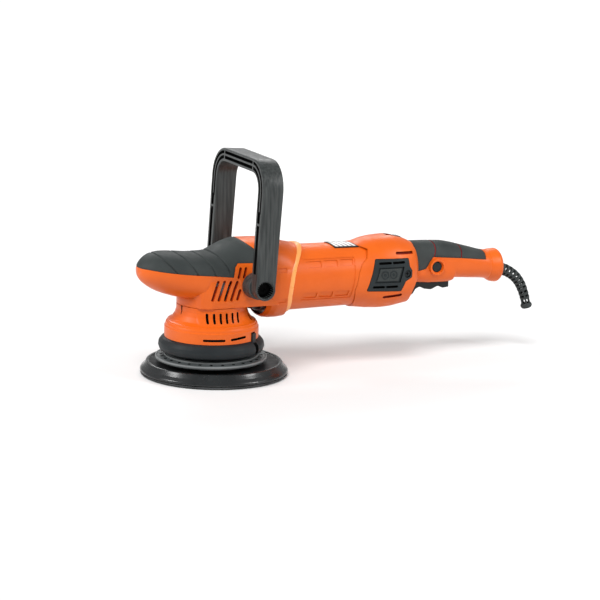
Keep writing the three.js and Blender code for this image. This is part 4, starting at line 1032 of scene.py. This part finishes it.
def brush_cover(name, side):
    """A side cover with louvres, a sunk panel and a raised island in it."""
    low, high = span(side, 20)
    skin = moulded(REAR_BODY, -0.3, cover_grey, steps=90, count=176)
    cut(skin, moulded(REAR_BODY, 4.6, cover_grey, count=96))
    keep(skin, prism("y", filleted(COVER_OUTLINE, 2.4), low, high, cover_grey))
    panel = filleted([[188.6, 117.8], [220.6, 117.4], [215.4, 99.6], [183.4, 100.4]], 0.8)
    # The sunk panel's floor and the blind louvres are cut in near-black: painted shade.
    floor = prism("y", panel, low, high, black_and_painted_shade)
    cut(floor, moulded(REAR_BODY, 1.5, cover_grey, count=96))
    island = filleted([[190.6, 116], [217.4, 115.6], [213.2, 101.6], [186.4, 102.2]], 0.8)
    raised = moulded(REAR_BODY, 0.7, grip_black, count=96)
    cut(raised, moulded(REAR_BODY, 3, cover_grey, count=96))
    keep(raised, prism("y", island, low, high, cover_grey))
    louvres = []
    for x0, z0, x1, z1 in ((190, 122.4, 203, 122.4), (207, 122.3, 220, 122.3),
                           (182.6, 95.6, 195, 95.4), (199, 95.2, 211.4, 95)):
        louvre = slot(x0, z0, x1, z1, 2.8, low, high, black_and_painted_shade)
        louvres.append(cut(louvre, moulded(REAR_BODY, 3, black_and_painted_shade, steps=50, count=64)))
    cut(skin, floor, *louvres)
    rings = []
    for x in (196.4, 207):
        centre = (x, 0, 108.9)
        rings.append(disc("y", 4.7, *span(side, 33, 37.1), centre, cover_grey, 48, inner=3.7))
        rings.append(disc("y", 1.6, *span(side, 33, 37.1), centre, cover_grey, 32))
    join(skin, raised, *rings)
    # The screw's hole is cut in near-black: painted shade.
    cut(skin, disc("y", 4.3, *span(side, 33), COVER_SCREW, black_and_painted_shade),
        disc("y", 2, low, high, COVER_SCREW, black_and_painted_shade))
    settle(skin, f"side_cover_{name}", f"brush_cover_{name}")


def screw(name, node, centre, side, head_low, head_radius, shank_low, metal=steel):
    """A pan-head screw with a cross recess, along Y."""
    profile = filleted([[0, shank_low, 0], [1.7, shank_low, 0.4], [1.7, head_low, 0],
                        [head_radius, head_low, 0.2], [head_radius, head_low + 1.1, 0.8],
                        [0, head_low + 1.5, 0]], 0.4, closed=False)
    made = turned("y", mirrored(profile, side), centre, metal, sides=40)
    x, _, z = centre
    low, high = span(side, head_low + 0.5, head_low + 3)
    # The cross recess is cut in near-black: painted shade.
    for u, v in ((2, 0.45), (0.45, 2)):
        cross = oblong(x - u, x + u, z - v, z + v)
        cut(made, prism("y", cross, low, high, black_and_painted_shade))
    settle(made, name, node)


def trigger():
    line = filleted([
        [244.4, 77.2, 0.6], [244.4, 97, 1], [246.6, 99, 1], [292.4, 99, 0.6], [292.4, 84, 1.2],
        [285, 83.2, 3], [278.4, 86, 4], [270, 82.2, 5], [261, 83.6, 4], [255, 86.4, 4],
        [250, 84, 3], [246.8, 79, 2],
    ], 1, steps=6)
    body = bevelled(prism("y", line, -7.3, 7.3, black_plastic), 1.1)
    join(body, disc("y", 1.4, -10.4, 10.4, (250, 0, 95.4), black_plastic, 32))
    settle(body, "trigger_lever", "trigger", "trigger")


def lock_button():
    profile = filleted([[0, -22.6, 0], [3.6, -22.5, 1], [5.4, -23, 0.6], [6, -22.2, 0.4],
                        [6, -13.6, 0], [7.4, -13.6, 0], [7.4, -12.2, 0], [0, -12.2, 0]], 0.4,
                       closed=False)
    button = turned("y", profile, LOCK, black_plastic, sides=64)
    settle(button, "lock_push", "lock_button", "lock_button")


def speed_dial():
    outline = []
    for k in range(4 * DIAL_TEETH):
        angle = 2 * math.pi * k / (4 * DIAL_TEETH)
        radius = 13 - 0.55 * (0.5 + 0.5 * math.cos(DIAL_TEETH * angle)) ** 2
        outline.append((DIAL_X + radius * math.cos(angle), DIAL_Z + radius * math.sin(angle)))
    wheel = prism("y", outline, -4, 4, black_plastic)
    join(wheel, disc("y", 2.2, -7.5, 10, (DIAL_X, 0, DIAL_Z), black_plastic, 32))
    settle(wheel, "dial_wheel", "speed_dial", "speed_dial")


GUARD_ROUTE = [(343.5, 101), (352, 101), (361, 100.6), (372, 97), (383, 89.8), (391, 79.8),
               (396.6, 67), (401, 51.5)]
COLLARS = 10
FINE = 200  # steps along the guard


def guard_route(count):
    """Points, headings and upward normals, evenly spaced along the guard's curve."""
    points = [Vector((x, 0, z)) for x, z in GUARD_ROUTE]
    ends = [points[0] * 2 - points[1], *points, points[-1] * 2 - points[-2]]
    dense = []
    for a, b, c, d in zip(ends, ends[1:], ends[2:], ends[3:]):
        for k in range(40):
            t = k / 40
            dense.append(0.5 * ((2 * b) + (c - a) * t + (2 * a - 5 * b + 4 * c - d) * t * t
                                + (3 * b - a - 3 * c + d) * t**3))
    dense.append(points[-1])
    dense = np.array(dense)
    along = line_lengths(dense)
    places = np.linspace(0, along[-1], count)
    spots = [Vector([np.interp(place, along, dense[:, k]) for k in range(3)]) for place in places]
    out = []
    for i, spot in enumerate(spots):
        ahead = (spots[min(i + 1, count - 1)] - spots[max(i - 1, 0)]).normalized()
        out.append((spot, ahead, ahead.cross(Vector((0, 1, 0)))))
    return out


def guard_loft(stations, outline_at, material):
    rings = []
    for (spot, _, up), share in stations:
        rings.append([tuple(spot + Vector((0, 1, 0)) * u + up * v) for u, v in outline_at(share)])
    return loft(rings, material)


def cord_guard():
    """A bend relief of collars held apart by four spines, with a plain sleeve at its root."""
    fine = guard_route(FINE + 1)

    def taper(share):
        return 7.1 - 1.5 * min(1, max(0, (share - 0.25) / 0.65))

    def tube(start, end, radius_at):
        picked = [(fine[i], i / FINE) for i in range(round(start * FINE), round(end * FINE) + 1)]
        return guard_loft(picked, lambda share: dots(radius_at(share), 32), grip_black)

    whole = tube(0, 0.2, taper)
    parts = [tube(0, 0.04, lambda share: 9.2 - share * 20)]
    for k in range(COLLARS):
        middle = 0.26 + 0.066 * k
        parts.append(tube(middle - 0.015, middle + 0.015, taper))
    parts.append(tube(0.94, 1, lambda share: 5.7 + 1.1 * math.sin(math.pi * (share - 0.94) / 0.06)))
    for angle in (math.pi / 2, -math.pi / 2, math.pi + 0.35, -0.35):
        du, dv = math.cos(angle), math.sin(angle)

        def bar(share):
            corners = oblong(3.4, taper(share) - 0.3, -1, 1)
            return [(du * out - dv * across, dv * out + du * across) for out, across in corners]

        picked = [(fine[i], i / FINE) for i in range(30, 194)]
        parts.append(guard_loft(picked, bar, grip_black))
    join(whole, *parts)
    ends = [(fine[0][0] - fine[0][1] * 2, fine[0][1], fine[0][2]), *fine,
            (fine[-1][0] + fine[-1][1] * 2, fine[-1][1], fine[-1][2])]
    # The bore is cut in near-black: painted shade.
    bore = guard_loft([(station, 0) for station in ends], lambda share: dots(3.7, 32), black_and_painted_shade)
    cut(whole, bore)
    settle(whole, "bend_relief", "cord_guard")


# ---- bail handle

BAIL_HALF, BAIL_TOP, LEAN = 73.5, 250, math.radians(3.5)
STRAP_RISE = (BAIL_TOP - PIVOT_Z - 12.6 * math.sin(LEAN)) / math.cos(LEAN)
CORNER, THICK = 34, 15
SPLINES = 24


def arch_line(depth, bottom, fine=14):
    """The strap's line in (Y, height above the pivot) at a depth below its outer face."""
    half, radius = BAIL_HALF - depth, max(CORNER - depth, 4)
    shoulder = STRAP_RISE - depth - radius
    line = [(-half, bottom + (shoulder - bottom) * k / 24) for k in range(25)]
    for k in range(1, fine + 1):
        angle = math.pi - math.pi / 2 * k / fine
        line.append((-half + radius + radius * math.cos(angle), shoulder + radius * math.sin(angle)))
    line += [((radius - half) * (1 - k / 6), shoulder + radius) for k in range(1, 7)]
    return line + [(-y, z) for y, z in reversed(line[:-1])]


def bail_sweep(section, bottom, material):
    """A closed section of (depth, x) points carried along the strap's line."""
    lines = {depth: arch_line(depth, bottom) for depth, _ in section}
    rings = []
    for i in range(len(arch_line(0, bottom))):
        ring = []
        for depth, x in section:
            y, height = lines[depth][i]
            widening = 1 + 0.077 * min(1, max(0, height / STRAP_RISE))
            ring.append((x * widening, y, height))
        rings.append(ring)
    return loft(rings, material)


def bail_handle():
    half = 11.7
    section = filleted([[0, -half, 1.3], [THICK, -half, 1.3], [THICK, half, 2], [0, half, 2]], 1.5,
                       steps=4)
    strap = bail_sweep(section, 0, bail_black)
    for side in (-1, 1):
        low, high = span(side, BAIL_HALF - THICK, BAIL_HALF)
        line = filleted([[0, low, 0], [half, low, 1.3], [half, high, 1.3], [0, high, 0]], 1.3,
                        closed=False)
        join(strap, turned("y", line, SPINDLE, bail_black, sides=96))
    # The channels are cut in near-black: painted shade.
    channels = [bail_sweep(oblong(near, far, -30, 7), bottom, black_and_painted_shade)
                for near, far, bottom in ((2.9, 6.3, 84), (8.5, 12.1, 84), (4.2, 10.8, 17))]
    cut(channels[2], block(-40, 40, -90, 90, 86, 200))
    ribs = [(-90, 90, 70.6, 73), (-41.5, -39.3, 100, 200), (39.3, 41.5, 100, 200)]
    for channel in channels:
        cut(channel, *[block(-40, 40, *rib) for rib in ribs])
    cut(strap, *channels)
    for side in (-1, 1):
        # The bores and the holes are cut in near-black: painted shade.
        bore = disc("y", 9.4, *span(side, 61.2, 90), SPINDLE, black_and_painted_shade, 96)
        recess = [[0, 90], [10.6, 90], [10.6, 72.6], [9.3, 71.8], [0, 71.8]]
        shallow = turned("y", mirrored(recess, side), SPINDLE, bail_black)
        hole = disc("y", 4.4, *span(side, 50, 70), SPINDLE, black_and_painted_shade)
        cut(strap, bore, shallow, hole)
        join(strap, *[disc("y", 0.62, *span(side, 64, 72.4), (x, 0, z), bail_black, 8)
                      for x, z in dots(9.4, SPLINES)])
    place = Matrix.Translation((PIVOT_X * MM, 0, PIVOT_Z * MM)) @ Matrix.Rotation(LEAN, 4, "Y")
    strap.data.transform(place)
    settle(strap, "bail_strap", "bail_handle", BAIL)


def bail_fittings(name, side):
    line = filleted([[4.4, 40.9, 0], [14.6, 40.9, 0.5], [14.2, 46, 1], [13.4, 57.8, 1.2],
                     [4.4, 57.8, 0]], 0.8)
    hub = turned("y", mirrored(line, side), PIVOT, bail_black)
    settle(hub, f"pivot_hub_{name}", f"bail_hub_{name}")
    bolt_line = filleted([[0, 20, 0], [4, 20, 0.6], [4, 61.6, 0], [6.4, 61.6, 0.2],
                          [6.4, 64, 0.8], [0, 64.4, 0]], 0.5, closed=False)
    bolt = turned("y", mirrored(bolt_line, side), PIVOT, black_and_painted_shade, sides=48)
    hexagon = dots(3.2, 6, PIVOT_X, PIVOT_Z)
    cut(bolt, prism("y", hexagon, *span(side, 63, 70), black_and_painted_shade))
    settle(bolt, f"pivot_bolt_{name}", f"bail_bolt_{name}")


# ---- build

head_cover()
palm_grip()
head_skirt()
shroud_ring()
vent_disc()
backing_plate()
hook_face()
gear_case_foot()
motor_housing()
highlight_painted_band()
label_plate()
handle_shells()
handle_grip()
trigger()
lock_button()
speed_dial()
cord_guard()
bail_handle()
for side_name, side_sign in (("left", -1), ("right", 1)):
    brush_cover(side_name, side_sign)
    screw(f"cover_screw_{side_name}", f"brush_cover_screw_{side_name}", COVER_SCREW,
          side_sign, 33.3, 3.9, 24, black_plastic)
    bail_fittings(side_name, side_sign)
for number, (screw_x, screw_z) in enumerate(HANDLE_SCREWS, 1):
    screw(f"shell_screw_{number}", f"handle_screw_{number}", (screw_x, 0, screw_z), 1, 11, 3.5, -9)

node_slots = {part["node"]: part["material_slot"] for part in frame["record"]["subparts"]}
for node_name, node in frame["nodes"].items():
    node.data.materials.clear()
    node.data.materials.append(SLOT_OF[node_slots[node_name]])

# ---- floor, light and camera, in metres except for the floor's corners

FLOOR_REACH, FLOOR_Z = 40000, -0.2
floor_corners = [(x * FLOOR_REACH, y * FLOOR_REACH, FLOOR_Z)
                 for x, y in ((-1, -1), (1, -1), (1, 1), (-1, 1))]
floor_mesh = make(floor_corners, [(0, 1, 2, 3)], name="floor")
floor_look, floor_tree, floor_shader = nodes_of("studio_floor", (0.76, 0.76, 0.76), 0.8)
floor_mesh.data.materials.append(floor_look)
floor_place = add(floor_tree, "TexCoord", {})["Object"]
floor_reach = add(floor_tree, "VectorMath", {0: floor_place}, operation="LENGTH")
GLOW_START, GLOW_END, GLOW = 0.7, 2.2, 0.34  # metres from the tool, and the far strength
floor_glow = remap(floor_tree, floor_reach["Value"], 0, GLOW, GLOW_START, GLOW_END)
floor_shader.inputs["Emission Color"].default_value = (1, 1, 1, 1)
floor_tree.links.new(floor_glow, floor_shader.inputs["Emission Strength"])

world = bpy.data.worlds.new("studio")
bpy.context.scene.world = world
world.use_nodes = True
world.node_tree.nodes["Background"].inputs["Color"].default_value = (1, 1, 1, 1)
world.node_tree.nodes["Background"].inputs["Strength"].default_value = 0.36


def area_light(name, place, aim, size, power):
    lamp = bpy.data.lights.new(name, "AREA")
    lamp.shape = "RECTANGLE"
    lamp.size, lamp.size_y = size
    lamp.energy = power
    made = placed(name, lamp)
    made.location = place
    made.rotation_euler = (Vector(aim) - Vector(place)).to_track_quat("-Z", "Y").to_euler()


sun = bpy.data.lights.new("key_sun", "SUN")
sun.energy = 2.5
sun.angle = math.radians(24)
sun_object = placed("key_sun", sun)
sun_object.visible_glossy = False
sun_direction = Vector((0.5, 0.72, -1.15))
sun_object.rotation_euler = sun_direction.to_track_quat("-Z", "Y").to_euler()
area_light("left_side", (-1.4, 0.25, 0.95), (0.03, 0, 0.1), (0.4, 0.6), 10)
area_light("right_side", (1.1, -0.98, 0.95), (0.06, 0, 0.08), (0.35, 0.6), 9)
area_light("back_top", (0.5, 1.5, 1.1), (0.1, 0, 0.1), (1.4, 0.4), 10)

# The camera looks at target from distance metres away, turned, raised and rolled by these degrees.
# The lens shift is a share of the sensor's width.
azimuth, elevation, roll = (math.radians(a) for a in (24.77, 11.23, 1.43))
distance = 3.0058
target = Vector((0.13176, 0, 0.10959))
forward = Vector((math.sin(azimuth) * math.cos(elevation), math.cos(azimuth) * math.cos(elevation),
                  -math.sin(elevation)))
level = Vector((math.cos(azimuth), -math.sin(azimuth), 0))
upright = level.cross(forward)
sideways = level * math.cos(roll) + upright * math.sin(roll)
upwards = upright * math.cos(roll) - level * math.sin(roll)
lens = bpy.data.cameras.new("camera")
lens.sensor_width = 36
lens.lens = 159.15
lens.shift_x, lens.shift_y = -1 / 30, -7 / 150
lens.clip_end = 50
camera = placed("camera", lens)
camera.matrix_world = Matrix((sideways, upwards, -forward)).transposed().to_4x4()
camera.location = target - forward * distance
bpy.context.scene.camera = camera
bpy.context.scene.view_settings.view_transform = "Standard"
